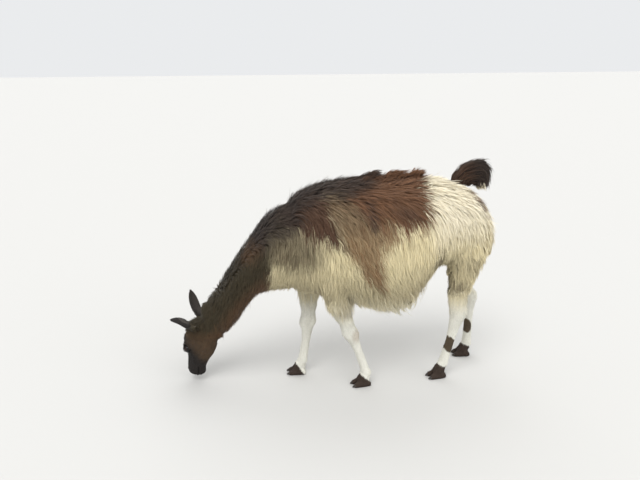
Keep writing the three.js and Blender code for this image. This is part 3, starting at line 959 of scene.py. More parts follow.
# The way each ear's hollow looks, in the head's own directions, and the ear's half width from
# root to tip, as a share of its widest.
EAR_OPENS = {"left": (0.985, -0.14, -0.08), "right": (-0.30, 0.45, -0.80)}
EAR_OUTLINE = [
    (0.0, 0.55), (0.12, 0.72), (0.38, 1.0), (0.62, 1.0), (0.80, 0.82), (0.93, 0.50), (1.0, 0.12),
]
EAR_SINK = 0.030  # how far an ear's root goes into the head
EAR_EDGE = 0.0004  # half an ear's thickness along its rim


def ear_line(side):
    """The middle line of an ear, from its root to its tip."""
    points = points_of(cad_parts[f"ear_{side}"].data)
    centre = points.mean(0)
    axis = np.linalg.svd(points - centre, full_matrices=False)[2][0]
    axis = axis if axis @ (centre - POLL - 0.08 * FACE_DOWN) > 0 else -axis
    reach = (points - centre) @ axis
    return centre + axis * reach.min(), centre + axis * reach.max()


def ear_shape(side, wall, rows=34, columns=20):
    """One ear as a closed leaf, rolled to a tube at its root: its points and four-sided faces."""
    points = points_of(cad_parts[f"ear_{side}"].data)
    root, tip = ear_line(side)
    length = np.linalg.norm(tip - root)
    axis = (tip - root) / length
    opens = unit(np.array(EAR_OPENS[side]) @ FACE)
    sideways = unit(np.cross(opens, axis))
    face = np.cross(axis, sideways)
    half = np.ptp(points @ sideways) / 2
    along = np.linspace(-EAR_SINK / length, 1, rows)
    outline = np.pad(np.interp(along, *zip(*EAR_OUTLINE)), 2, mode="edge")
    outline = np.convolve(outline, [0.1, 0.2, 0.4, 0.2, 0.1], mode="valid")
    roll = 2.30 - 1.35 * ramp(along, -0.1, 0.45)
    turn = np.linspace(-1, 1, columns)[None, :] * roll[:, None]
    radius = (half * outline / np.where(roll < np.pi / 2, np.sin(roll), 1.0))[:, None]
    bend = (ramp(along, 0.45, 1.0) ** 2)[:, None] * (face * 0.004)
    middle_line = root + along[:, None] * length * axis + bend
    thickness = wall * (0.35 + 0.65 * (1 - ramp(along, 0.7, 1.0)))[:, None]
    shells = []
    for shell in (radius, radius - thickness):
        shell = np.maximum(shell, EAR_EDGE)
        depth = shell * np.cos(turn) - (radius * 0.30)
        shells.append(
            middle_line[:, None, :]
            + (shell * np.sin(turn))[..., None] * sideways
            - depth[..., None] * face
        )
    outer, inner = shells
    index = np.arange(rows * columns).reshape(rows, columns)
    shift = rows * columns
    quads = []
    for grid, turned in ((index, False), (index + shift, True)):
        corners = [grid[:-1, :-1], grid[1:, :-1], grid[1:, 1:], grid[:-1, 1:]]
        corners = corners[::-1] if turned else corners
        quads.append(np.stack(corners, -1).reshape(-1, 4))
    border = np.concatenate([index[0, :], index[1:, -1], index[-1, -2::-1], index[-2:0:-1, 0]])
    following = np.roll(border, -1)
    quads.append(np.stack([border, following, following + shift, border + shift], -1))
    return np.concatenate([outer.reshape(-1, 3), inner.reshape(-1, 3)]), np.concatenate(quads)


def refine(mesh, wanted):
    """Splits the faces whose points are all wanted into four."""
    with edited(mesh) as shape:
        inside = [face for face in shape.faces if all(wanted[v.index] for v in face.verts)]
        edges = list(dict.fromkeys(edge for face in inside for edge in face.edges))
        bmesh.ops.subdivide_edges(shape, edges=edges, cuts=1, smooth=0.0)
        bmesh.ops.triangulate(shape, faces=[face for face in shape.faces if len(face.verts) > 4])


def coat_depth(points, normals, share, skin):
    """How deep the skin lies under each point of the flesh's outer surface."""
    down = in_head(points)[:, 0]
    below = ramp(normals[:, 2], -0.3, -0.9)
    trunk = skin.trunk_depth * (1 - 0.30 * below) * (0.45 + 0.55 * ramp(points[:, 2], 0.48, 0.62))
    poll = 0.014 * ramp(down, COLLAR, COLLAR - 0.035) * (share["head"] > 0.02)
    breeches = 0.011 * ramp(points[:, 2], 0.40, 0.53)
    return (
        share["trunk"] * trunk
        + share["neck"] * skin.neck_depth
        + share["tail"] * skin.tail_depth
        + share["head"] * (skin.face_depth + poll)
        + share["leg"] * (skin.leg_depth + breeches)
        + share["paw"] * PAW_DEPTH
    )


def shares_of(mesh, net, times):
    """How much each point belongs to each region, from 0 to 1, and its distance to the nodes."""
    region, distance = nearest_regions(points_of(mesh))
    return dict(zip(REGIONS, net.smooth(np.eye(len(REGIONS))[region], times).T)), distance


def on_face(points, down):
    """True for points of the head that are further down the face than this."""
    x, _, z = points.T
    return (in_head(points)[:, 0] > down) & (x < HEAD_START[0]) & (z < POLL[2])


def flesh_mesh():
    """The flesh as one closed surface, without the scraps that the remesh leaves inside."""
    voxel = bpy.context.scene.llama_skin.voxel
    mesh = modified(joined(BODY), "REMESH", mode="VOXEL", voxel_size=voxel)
    loose = np.flatnonzero(~Net(mesh).largest_island())
    with edited(mesh) as shape:
        bmesh.ops.delete(shape, geom=[shape.verts[i] for i in loose], context="VERTS")
    return mesh


def sink_under_coat(mesh, skin):
    """Moves the flesh's surface in by the coat's depth, smooths it there, and thins it out."""
    net = Net(mesh)
    place_points(mesh, net.fair(points_of(mesh), times=14))
    share, _ = shares_of(mesh, net, times=30)
    depth = coat_depth(points_of(mesh), normals_of(mesh), share, skin)
    depth = net.smooth(depth, times=12)
    fleecy = np.clip((depth - 0.008) / 0.01, 0, 1)
    steps = 8
    for _ in range(steps):
        points = points_of(mesh) - normals_of(mesh) * depth[:, None] / steps
        place_points(mesh, net.smooth(points, times=2, share=0.5 * fleecy))
    place_points(mesh, net.smooth(points_of(mesh), times=30, share=0.5 * fleecy))
    hidden = (share["trunk"] + share["neck"] > 0.97) & (in_head(points_of(mesh))[:, 0] < -0.02)
    return modified(
        mesh, "DECIMATE", decimate_type="COLLAPSE", ratio=1 - 0.90 * hidden.mean(),
        vertex_group="hidden", weights=hidden.astype(float),
    )


def refine_head_and_feet(mesh):
    """Smaller faces on the head and feet, and smaller still on the lips and round the eyes."""
    points = points_of(mesh)
    refine(mesh, on_face(points, 0.05) | (points[:, 2] < 0.085))
    points = points_of(mesh)
    face = on_face(points, 0.05)
    place_points(mesh, Net(mesh).smooth(points, times=8, share=0.5 * face))
    refine(mesh, (from_eye(points) < 0.030) | (face & (in_head(points)[:, 0] > 0.255)))
    refine(mesh, from_eye(points_of(mesh)) < 0.024)


def make_skin_mesh(skin):
    """The skin as one closed surface under the coat, fine on the head, with the ears on it."""
    mesh = sink_under_coat(flesh_mesh(), skin)
    refine_head_and_feet(mesh)
    net = Net(mesh)
    points = points_of(mesh)
    place_points(mesh, net.smooth(points, times=5, share=0.5 * on_face(points, 0.10)))
    points = sculpt_legs(points_of(mesh), normals_of(mesh))
    is_leg = (points[:, 2] < 0.44) * (points[:, 0] > -0.45)
    points = net.smooth(points, times=2, share=0.45 * is_leg)
    points[:, 2] = np.maximum(points[:, 2], OVER_FLOOR)
    place_points(mesh, points)
    points, bare = sculpt_head(points_of(mesh), normals_of(mesh))
    place_points(mesh, points)
    with edited(mesh) as whole:
        for side in SIDES:
            ear_points, quads = ear_shape(side, skin.ear_wall)
            corners = [whole.verts.new(point) for point in ear_points]
            sides = [whole.faces.new([corners[i] for i in quad]) for quad in quads]
            bmesh.ops.recalc_face_normals(whole, faces=sides)
    bare = np.concatenate([bare, np.zeros(len(mesh.vertices) - len(bare))])
    add_vectors(mesh, "bare", np.repeat(bare[:, None], 3, 1))
    mesh.shade_smooth()
    return mesh


# ---------- The lie of the coat ----------
def nearest_on_line(points, line):
    """The line's direction at the place nearest to each point, its share of the line, and it."""
    line = np.asarray(line, float)
    starts, ends = line[:-1], line[1:]
    along = ends - starts
    share = np.einsum("nij,ij->ni", points[:, None] - starts, along) / np.sum(along**2, 1)
    share = np.clip(share, 0, 1)
    spots = starts + share[..., None] * along
    closest = np.argmin(np.linalg.norm(points[:, None] - spots, axis=2), 1)
    rows = np.arange(len(points))
    reach = (closest + share[rows, closest]) / len(starts)
    return unit(along)[closest], reach, spots[rows, closest]


def trunk_lie(points, normals, dorsal):
    """Back along the top, down over the side, and steep on the shoulder, thigh and buttock."""
    x, _, z = points.T
    steep = np.radians(14 + 70 * ramp(z, 0.99, 0.76) * (1 - 0.9 * dorsal))
    steep = steep + np.radians(45) * ramp(x, 0.0, -0.10) * ramp(z, 0.88, 0.80)
    swept = bell((x - 0.10) + (z - 0.67) * 0.85, 0, 0.095)
    swept = swept * ramp(z, 0.90, 0.80) * ramp(z, 0.48, 0.56)
    steep = steep - np.radians(46) * swept
    belly = ramp(z, 0.68, 0.58) * ramp(x, 0.14, 0.24) * ramp(x, 0.56, 0.48)
    steep = steep - np.radians(26) * belly
    steep = steep + np.radians(24) * ramp(x, 0.40, 0.50) * ramp(z, 0.86, 1.00)
    steep = np.minimum(steep, np.radians(88))
    buttock = ramp(normals[:, 0], 0.20, 0.70) * ramp(x, 0.40, 0.55)
    steep = steep + buttock * (np.radians(92) - steep)
    return np.cos(steep)[:, None] * BACK - np.sin(steep)[:, None] * UP


def lie_of(points, normals, share, net):
    """The way the hair points over the skin, shorter where it has no clear way."""
    head = in_head(points)
    x = points[:, 0]
    way, _, inside = nearest_on_line(points, NECK_LINE)
    neck = unit(0.8 * way - 0.5 * UP + BACK * 0.25 * ramp(x, -0.50, -0.36)[:, None])
    # On the crest of the neck the hair runs back to the body, and beside it down to the sides.
    aside = np.clip((points[:, 1] - inside[:, 1]) / 0.012, -1, 1)[:, None] * [0, 1, 0]
    top = unit(UP - dot(UP, way)[:, None] * way)
    dorsal = ramp(dot(normals, top), 0.30, 0.70) * ramp(x, -0.60, -0.52) * ramp(x, -0.10, -0.22)
    wool = ramp(head[:, 0], COLLAR, COLLAR - 0.02)
    face = unit(-FACE_DOWN * 0.95 - FACE_OUT * 0.25)
    on_head = blend(wool, face, unit(-UP + FACE_OUT * 0.2))
    tail = nearest_on_line(points, tail_points())[0]
    ears = np.zeros_like(points)
    for side in SIDES:
        root, tip = ear_line(side)
        ears[near_ear(points, side)] = unit(tip - root)
    forward = ramp(x + (points[:, 2] - 0.70) * 0.25, -0.20, -0.42)
    parting = (bell(dorsal, 0.5, 0.3) * forward * 1.2)[:, None] * aside
    on_body = blend(forward, trunk_lie(points, normals, dorsal), neck)
    on_body = blend(dorsal, on_body, -way) + parting
    body = (share["trunk"] + share["neck"])[:, None]
    lie = (
        body * on_body
        + share["head"][:, None] * on_head
        + share["tail"][:, None] * tail
        + share["ear"][:, None] * ears
        + share["leg"][:, None] * unit([0.12, 0, -1])
        + share["paw"][:, None] * unit([-0.55, 0, -0.8])
    )
    lie = lie - dot(lie, normals)[:, None] * normals
    lie = net.smooth(lie, times=6)
    return lie - dot(lie, normals)[:, None] * normals


COAT_DEPTHS = (0.001, 0.055)  # the least and the greatest depth that the coat fills


class Hide:
    """The finished skin as arrays: its faces, and what the coat needs to know all over it."""

    def __init__(self, mesh):
        self.points = points_of(mesh)
        self.normals = normals_of(mesh)
        self.faces = triangles_of(mesh)
        net = Net(mesh)
        self.share, distance = shares_of(mesh, net, times=10)
        share = self.share
        self.covered = 1 - vectors_of(mesh.attributes["bare"].data, "vector")[:, 0]
        # Under the fleece the way out bends only slowly, so that neighbouring locks lie alike.
        woolly = ramp(share["trunk"] + share["neck"], 0.2, 0.8)
        self.out = unit(blend(woolly, self.normals, unit(net.smooth(self.normals, times=16))))
        self.lie = lie_of(self.points, self.out, share, net)
        nothing = np.zeros(len(self.points))
        self.zone = np.stack([share["tail"], share["ear"] > 0.5, nothing], 1)
        for side in SIDES:
            opens = unit(np.array(EAR_OPENS[side]) @ FACE)
            near = near_ear(self.points, side)
            facing = ramp(self.normals @ opens, -0.1, 0.3)
            self.zone[:, 2] = np.where(near, facing * self.zone[:, 1], self.zone[:, 2])
        add_vectors(mesh, "zone", self.zone)
        self.depth = np.clip(net.smooth(distance, times=6), *COAT_DEPTHS)
        self.tree = BVHTree.FromPolygons(self.points.tolist(), self.faces.tolist())
        corners = self.points[self.faces]
        cross = np.cross(corners[:, 1] - corners[:, 0], corners[:, 2] - corners[:, 0])
        self.area = np.linalg.norm(cross, axis=1) / 2
        self.face_out = unit(self.over_faces(self.out))
        self.face_lie = self.over_faces(self.lie)
        self.face_depth = self.over_faces(self.depth)

    def over_faces(self, values):
        return values[self.faces].mean(1)

    def sow(self, density, count, chance):
        """Roots, closer together where density is high: their places, and where on a face."""
        weight = self.area * self.over_faces(density)
        faces = chance.choice(len(self.faces), count, p=weight / weight.sum())
        one, two = chance.random((2, count))
        fold = one + two > 1
        one[fold], two[fold] = 1 - one[fold], 1 - two[fold]
        corners = self.faces[faces]
        mixing = np.stack([1 - one - two, one, two], 1)
        return (self.points[corners] * mixing[..., None]).sum(1), (corners, mixing)

    def at(self, values, spots):
        """The values at the roots, from those at the skin's points."""
        corners, mixing = spots
        return np.einsum("nk,nk...->n...", mixing, values[corners])

    def nearest(self, points):
        """The nearest place on the skin, the way out of it, its face and the height over it."""
        found = [self.tree.find_nearest(point) for point in points.tolist()]
        feet = np.array([hit[0] for hit in found])
        faces = np.array([hit[2] for hit in found])
        out = self.face_out[faces]
        return feet, out, faces, dot(points - feet, out)


# ---------- Strands ----------
ROOT_DEPTH = 0.0015  # how deep in the skin a lock begins
SHORT_ROOT_DEPTH = 0.0006  # and a short hair
MAP_PATCH = 0.003  # how large a strand's place on the bake's map is
MAP_EDGE = 0.01
WIDEST = 0.267  # the farthest that a strand may reach to a side
LOWEST = 0.0006  # and the least height of it over the floor
MOST_TRIANGLES = 198000
MADE = {}  # the coat's material and the hide, once they are made


def shares(rows):
    """From 0 at a strand's root to 1 at its tip."""
    return np.linspace(0, 1, rows)


def grow_guides(hide, roots, normals, style, steps):
    """Paths that rise from the skin and follow its lie, and the skin's way out along them."""
    lengths, gravity, lift, tall, hold = style
    paths = np.empty((len(roots), steps + 1, 3))
    outward = np.empty_like(paths)
    paths[:, 0] = roots - normals * ROOT_DEPTH
    outward[:, 0] = normals
    spot = roots
    faces = hide.nearest(roots)[2]
    out = normals
    for step in range(1, steps + 1):
        share = step / steps
        lie = hide.face_lie[faces]
        firm = np.linalg.norm(lie, axis=1, keepdims=True)
        rise = (lift + (1 - np.minimum(firm, 1)[:, 0]) * 0.6) * (1 - share) ** 1.5
        way = unit(lie + gravity[:, None] * -UP * (0.4 + share) + rise[:, None] * out)
        spot = spot + way * (lengths / steps)[:, None]
        feet, out, faces, height = hide.nearest(spot)
        wanted = hide.face_depth[faces] * tall * (0.16 + 0.84 * share**0.55)
        height = np.where(height < wanted, wanted, height + hold * (wanted - height))
        height = np.maximum(height, OVER_FLOOR)
        spot = feet + out * height[:, None]
        paths[:, step] = spot
        outward[:, step] = out
    return paths, outward


def sample_paths(paths, reach, steps):
    """Points at equal shares of each path, up to its own reach."""
    last = paths.shape[1] - 1
    spots = np.clip(shares(steps + 1)[None, :] * reach[:, None] * last, 0, last - 1e-6)
    low = spots.astype(int)
    rows = np.arange(len(paths))[:, None]
    part = (spots - low)[..., None]
    return paths[rows, low] * (1 - part) + paths[rows, low + 1] * part


def ribbons(paths, outward, widths, roll, profile):
    """Thin strips along paths: points as (strand, step, side, xyz)."""
    way = unit(np.gradient(paths, axis=1))
    side = unit(np.cross(way, outward))
    up = np.cross(side, way)
    across = side * np.cos(roll)[:, None, None] + up * np.sin(roll)[:, None, None]
    half = across * (widths[:, None] * profile[None, :] / 2)[..., None]
    return np.stack([paths - half, paths + half], 2)


def kept_inside(strips):
    """The strips, pressed in where they would reach too far to a side or into the floor."""
    strips[..., 1] = np.clip(strips[..., 1], -WIDEST, WIDEST)
    strips[..., 2] = np.maximum(strips[..., 2], LOWEST)
    return strips


def unwrap_round(points, line):
    """The angle round a line and the place along it, each from 0 to 1."""
    way, along, spots = nearest_on_line(points, line)
    across = np.array([0.0, 1.0, 0.0])
    flat = points - spots
    both = np.stack([np.arctan2(flat @ across, dot(flat, np.cross(way, across))), along], 1)
    low, high = both.min(0), both.max(0)
    return MAP_EDGE + (1 - 3 * MAP_EDGE) * (both - low) / np.maximum(high - low, 1e-6)


def add_coat_piece(name, strips, places, chance, zones, axis):
    """One piece of strips, each with its place for the markings and its patch on the map."""
    count, rows = strips.shape[:2]
    if count * (rows - 1) * 2 > MOST_TRIANGLES:
        raise RuntimeError(f"{name} has {count * (rows - 1) * 2} triangles")
    mesh = bpy.data.meshes.new(name)
    mesh.vertices.add(count * rows * 2)
    mesh.vertices.foreach_set("co", strips.astype(np.float32).ravel())
    index = np.arange(count * rows * 2).reshape(count, rows, 2)
    low, high = index[:, :-1], index[:, 1:]
    quads = np.stack([low[..., 0], low[..., 1], high[..., 1], high[..., 0]], -1).reshape(-1, 4)
    mesh.loops.add(quads.size)
    mesh.loops.foreach_set("vertex_index", quads.astype(np.int32).ravel())
    mesh.polygons.add(len(quads))
    mesh.polygons.foreach_set("loop_start", np.arange(0, quads.size, 4, dtype=np.int32))
    mesh.update(calc_edges=True)
    along = np.broadcast_to(shares(rows)[None, :, None], index.shape)
    across = np.broadcast_to(np.array([-1.0, 1.0])[None, None, :], index.shape)
    random = np.broadcast_to(chance[:, None, None], index.shape)
    strand = np.stack([along, across, random], -1)
    place = np.broadcast_to(places[:, None, None, :], (*index.shape, 3))
    zones = np.broadcast_to(zones[:, None, None, :], place.shape)
    for title, values in (("strand", strand), ("place", place), ("zone", zones)):
        add_vectors(mesh, title, values)
    spots = unwrap_round(strips[:, 0, 0], axis)[:, None, None, :]
    patch = spots + MAP_PATCH * (np.stack([across, along * 2 - 1], -1) / 2)
    corners = patch.reshape(-1, 2)[quads.ravel()]
    mesh.uv_layers.new(name="OFBake").data.foreach_set("uv", corners.astype(np.float32).ravel())
    mesh.shade_smooth()
    if "coat" not in MADE:
        MADE["coat"] = fleece_material()
    piece = link(name, mesh, MADE["coat"])
    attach(piece, "root")


def nearest_clump(points, centres):
    tree = KDTree(len(centres))
    for index, centre in enumerate(centres):
        tree.insert(centre, index)
    tree.balance()
    return np.array([tree.find(point)[1] for point in points])


def taper(rows, root=0.55, tip=0.10):
    return np.interp(shares(rows), [0, 0.30, 0.65, 1], [root, 1.0, 0.85, tip])


def hide():
    if "hide" not in MADE:
        raise RuntimeError("make the skin first")
    return MADE["hide"]


# ---------- The fleece ----------
WAVELENGTH = 0.058  # from one ripple of the fleece to the next


def fleece_style(roots, normals, share):
    """Length, gravity, wave, lift and hold of the fleece at each root."""
    x, y, z = roots.T
    coat = bpy.context.scene.llama_coat
    side = ramp(z, 1.00, 0.86)
    fringe = ramp(z, 0.72, 0.60) * ramp(x, -0.16, -0.02) * ramp(x, 0.62, 0.50)
    fringe = fringe * ramp(np.abs(y), 0.05, 0.12)
    trunk_length = coat.fleece_length * (0.72 + 0.28 * side)
    for shorter in (
        0.30 * ramp(x, 0.42, 0.60),
        0.25 * ramp(x, -0.20, -0.32),
        0.25 * ramp(z, 0.60, 0.50) * ramp(x, 0.36, 0.48),
        0.10 * fringe,
    ):
        trunk_length = trunk_length * (1 - shorter)
    neck_length = 0.040 + 0.022 * ramp(x, -0.46, -0.30)
    head_length = 0.013 + 0.012 * ramp(in_head(roots)[:, 0], COLLAR - 0.01, COLLAR - 0.07)
    leg_length = 0.010 + 0.036 * ramp(z, 0.43, 0.56)
    # Below the buttock and the stifle the fleece is shorter and hangs free over the leg.
    under = ramp(-normals[:, 2], 0.10, 0.60) * ramp(x, 0.44, 0.52)
    over = np.minimum(under + 0.6 * ramp(z, 0.62, 0.54) * ramp(x, 0.46, 0.54), 1)
    lengths = (
        share["trunk"] * trunk_length
        + share["neck"] * neck_length
        + (share["head"] + share["ear"]) * head_length
        + (share["leg"] + share["paw"]) * leg_length
        + share["tail"] * 0.07
    ) * (1 - 0.62 * under * ramp(z, 0.52, 0.60) - 0.30 * over * ramp(z, 0.60, 0.52))
    wavy = bell(x, 0.08, 0.20) * ramp(z, 0.98, 0.88)
    gravity = 0.25 + 0.45 * side * share["trunk"] + 0.2 * fringe + 1.2 * over
    lift = 0.9 - 0.45 * share["neck"] + 0.35 * ramp(z, 0.98, 1.02) - 0.35 * share["head"]
    hold = (0.5 - 0.30 * fringe) * (1 - 0.9 * over)
    return lengths, gravity, 0.0016 + 0.0034 * wavy, lift * (1 - 0.5 * over), hold


def fleece_density(skin):
    """How thick the fleece grows over the skin, up to a ragged edge on the face."""
    down, across, out = in_head(skin.points).T
    edge = COLLAR - 0.030 * ramp(out, 0.0, 0.06)
    edge = edge + 0.005 * np.sin(across * 140) + 0.004 * np.sin(out * 230)
    wool = skin.share["head"] * ramp(down, edge + 0.006, edge - 0.022)
    breeches = skin.share["leg"] * ramp(skin.points[:, 2], 0.43, 0.52)
    density = skin.share["trunk"] + skin.share["neck"] * 1.25 + wool * 3.0 + breeches
    return density * ramp(skin.share["tail"], 0.25, 0.04)


def fleece_guides(skin, clumps, spots, chance, steps):
    """The middle lines of the locks, the way out along them, and each one's length and wave."""
    x, _, z = clumps.T
    share = {name: skin.at(values, spots) for name, values in skin.share.items()}
    normals = unit(skin.at(skin.out, spots))
    lengths, gravity, wave, lift, hold = fleece_style(clumps, normals, share)
    count = len(clumps)
    lengths = lengths * chance.uniform(0.80, 1.30, count)
    # Here and there along the belly a lock is longer and hangs away from the rest.
    belly = ramp(z, 0.66, 0.56) * ramp(x, 0.12, 0.22) * ramp(x, 0.46, 0.38)
    wisp = (chance.random(count) < 0.10) * belly
    lengths = lengths * (1 + 0.40 * wisp)
    hold = hold * (1 - 0.5 * wisp)
    gravity = gravity * (1 - 0.7 * wisp)
    lift = lift * chance.uniform(0.8, 1.5, count)
    rear = ramp(x, 0.57, 0.63) * ramp(z, 0.70, 0.62)
    # The coat stands highest along the top, from the withers down the crest of the neck.
    ridge = ramp(normals[:, 2], 0.1, 0.6) * ramp(x, -0.42, -0.32) * ramp(x, 0.20, 0.04)
    on_neck = 0.15 + 0.60 * ramp(x, -0.25, -0.33)
    on_trunk = 0.15 + 0.30 * ramp(x, -0.20, -0.06)
    ridge = ridge * (share["neck"] * on_neck + share["trunk"] * on_trunk)
    tall = chance.uniform(0.84, 1.05, count) * (1 + 0.22 * rear + ridge)
    style = lengths, gravity, lift, tall, hold
    return *grow_guides(skin, clumps, normals, style, steps), lengths, wave


def make_fleece(rows=7):
    """The long coat of the trunk, neck and poll, in several pieces."""
    skin = hide()
    coat = bpy.context.scene.llama_coat
    chance = np.random.default_rng(SEED)
    density = fleece_density(skin)
    clumps, clump_spots = skin.sow(density, coat.fleece_clumps, chance)
    guides, outward, lengths, wave = fleece_guides(skin, clumps, clump_spots, chance, rows + 1)

    roots, spots = skin.sow(density, coat.fleece_strands, chance)
    clump = nearest_clump(roots, clumps)
    count = len(roots)
    reach = chance.uniform(0.62, 1.0, count)
    paths = sample_paths(guides[clump], reach, rows - 1)
    out = unit(sample_paths(outward[clump], reach, rows - 1))
    share = shares(rows)[None, :]
    offset = (roots - clumps[clump])[:, None, :]
    gathering = chance.uniform(0.10, 0.80, count)[:, None, None]
    paths = paths + offset * (1 - gathering * share[..., None] ** 1.2)
    length = lengths[clump] * reach
    loose = np.where(chance.random(count) < 0.05, 0.015, 0.0055)
    loose = loose * np.clip(length / 0.08, 0.12, 1.0)
    scatter = chance.normal(0, 1, (count, 1, 3)) * loose[:, None, None] * share[..., None] ** 1.5
    paths = paths + scatter
    side = unit(np.cross(unit(np.gradient(paths, axis=1)), out))
    # Neighbouring locks swing nearly together, so that ripples run across them.
    phase = -clumps[:, 2] / WAVELENGTH * 2 * np.pi + chance.normal(0, 1.0, len(clumps))
    phase = phase[clump] + chance.normal(0, 0.45, count)
    turns = share * (length / WAVELENGTH)[:, None] * 2 * np.pi
    swing = (wave[clump][:, None] * share**0.8) * np.sin(turns + phase[:, None])
    paths = paths + side * swing[..., None]
    sunk = chance.uniform(0, 0.35, count)[:, None] * skin.at(skin.depth, spots)[:, None]
    paths = paths - out * sunk[..., None] * share[..., None]
    fine = 0.25 * skin.at(skin.share["neck"], spots) + 0.50 * skin.at(skin.share["head"], spots)
    widths = coat.fleece_width * chance.uniform(0.6, 1.25, count) * (1 - fine)
    roll = chance.normal(0, 0.30, count)
    strips = kept_inside(ribbons(paths, out, widths, roll, taper(rows)))
    spread = chance.normal(0, [0.007, 0.003, 0.007], (count, 3))
    places = paths[np.arange(count), chance.integers(1, rows - 1, count)] + spread
    shades = chance.random(count)
    zones = skin.at(skin.zone, spots) * [0.0, 1.0, 0.0]

    in_front = skin.share["neck"] + skin.share["head"] + skin.share["ear"]
    is_neck = skin.at(in_front, spots) > 0.5
    for part, chosen, axis, slot, kept in (
        ("neck", is_neck, NECK_LINE, "brown_fleece", [0, 1, 3, 5, 6]),
        ("trunk", ~is_neck, TRUNK_LINE, "cream_fleece", range(rows)),
    ):
        most = MOST_TRIANGLES // (2 * (len(kept) - 1))
        inside = np.flatnonzero(chosen)
        inside = inside[np.argsort(roots[inside, 0], kind="stable")]
        groups = np.array_split(inside, math.ceil(len(inside) / most))
        for number, group in enumerate(groups, 1):
            add_coat_piece(
                f"fleece_{part}_{number}",
                strips[group][:, kept], places[group], shades[group], zones[group], axis,
            )


def make_tail_coat(rows=8):
    """The plume of the tail, in arcs over its top and down, and the hair that hangs below it."""
    coat = bpy.context.scene.llama_coat
    chance = np.random.default_rng(SEED + 1)
    count = coat.tail_strands
    line = tail_points()
    reach = np.concatenate([[0], np.cumsum(np.linalg.norm(np.diff(line, axis=0), axis=1))])
    share = shares(rows)[None, :]
    begin = chance.uniform(0.0, 0.74, count)
    length = chance.uniform(0.26, 0.44, count) * (1 - 0.35 * ramp(begin, 0.5, 0.74))
    spots = np.minimum(begin[:, None] + length[:, None] * share, 1.02) * reach[-1]
    arc = np.stack([np.interp(spots, reach, line[:, axis]) for axis in range(3)], -1)
    size = np.sqrt(chance.uniform(0.03, 1.55, count))
    stray = np.where(chance.random(count) < 0.12, 0.20, 0.075)
    stray = stray * (0.3 + 0.7 * ramp(begin, 0.22, 0.42))
    flare = (chance.normal(0.01, 1, count) * stray)[:, None] * share**1.3
    # The arcs spread from the root, and farther towards the back than behind.
    base = np.array(TAIL_ROOT)
    stretch = np.where(arc[..., :1] < base[0], 1.24, 1.0) * [1, 0, 0] + np.array([0.0, 1.0, 1.04])
    paths = base + (size[:, None] + flare)[..., None] * (arc - base) * stretch
    ahead = ramp(paths[..., 0], base[0], base[0] - 0.05) * ramp(paths[..., 2], 1.09, 0.99)
    paths[..., 0] -= 0.022 * ahead
    half = TAIL_HALF * np.sqrt(np.maximum(1 - ((size - 0.72) / 0.62) ** 2, 0.03))
    paths[..., 1] += (half * chance.uniform(-1, 1, count))[:, None] * (0.55 + 0.45 * share)
    paths += chance.normal(0, 0.008, (count, 1, 3)) * share[..., None] ** 1.2
    blown = ramp(begin, 0.16, 0.24) * ramp(begin, 0.46, 0.36) * chance.uniform(-0.3, 1.0, count)
    paths[..., 0] += 0.022 * np.maximum(blown, 0)[:, None] * share**1.6
    turns = share * chance.uniform(5, 9, (count, 1))
    sway = 0.0022 * np.sin(turns + chance.uniform(0, 6.3, (count, 1)))
    paths += sway[..., None] * unit(chance.normal(0, 1, (count, 1, 3)))
    below = chance.random(count) < 0.07
    behind, beside = chance.uniform(0.012, 0.050, count), chance.normal(0, 0.012, count)
    starts = base + np.stack([behind, beside, np.full(count, 0.022)], 1)
    hang = share[..., None] * [0.3, 0.0, -1.0]
    hanging = starts[:, None, :] + hang * chance.uniform(0.025, 0.045, count)[:, None, None]
    paths = np.where(below[:, None, None], hanging, paths)
    outward = unit(paths - base + [0, 1e-4, 0])
    widths = 0.0032 * chance.uniform(0.6, 1.2, count)
    strips = ribbons(paths, outward, widths, chance.uniform(0, np.pi, count), taper(rows))
    zones = np.tile([1.0, 0.0, 0.0], (count, 1)) * ~below[:, None]
    places = paths[:, rows // 2]
    add_coat_piece("coat_tail", strips, places, chance.random(count), zones, line)


def make_tufts(rows=8, spikes=7, each=56):
    """The tufts that stand up on the back and curl to the rear, each of a few pointed locks."""
    skin = hide()
    chance = np.random.default_rng(SEED + 20)
    x, y, height, lean = np.repeat(np.array(TUFTS), spikes, axis=0).T
    spike_count = len(x)
    x = x + chance.uniform(-0.030, 0.026, spike_count)
    y = y + chance.normal(0, 0.012, spike_count)
    height = height * chance.uniform(0.55, 1.15, spike_count)
    lean = lean * chance.uniform(0.6, 1.3, spike_count)
    x, y, height, lean = (np.repeat(values, each) for values in (x, y, height, lean))
    count = len(x)
    dx, dy = chance.normal(0, 0.011, (2, count))
    above = np.stack([x + dx, y + dy, np.full(count, OVER_BACK)], 1)
    roots, normals, _, _ = skin.nearest(above)
    share = shares(rows)[None, :]
    reach = height * chance.uniform(0.35, 1.0, count) + 0.032
    rise = reach[:, None] * np.sin(share * np.pi * 0.54)
    back = (lean * chance.uniform(0.7, 1.3, count))[:, None] * share**1.7
    back = back - dx[:, None] * 0.6 * share
    side = -dy[:, None] * 0.6 * share + chance.normal(0, 0.009, count)[:, None] * share**1.3
    paths = roots[:, None, :] + rise[..., None] * UP + back[..., None] * BACK
    paths = paths + side[..., None] * [0, 1, 0]
    outward = np.broadcast_to(unit(normals)[:, None, :], paths.shape)
    widths = 0.0026 * chance.uniform(0.6, 1.2, count)
    strips = ribbons(paths, outward, widths, chance.uniform(0, np.pi, count), taper(rows))
    shades, zones = chance.random(count), np.zeros((count, 3))
    add_coat_piece("coat_tufts", strips, roots, shades, zones, TRUNK_LINE)


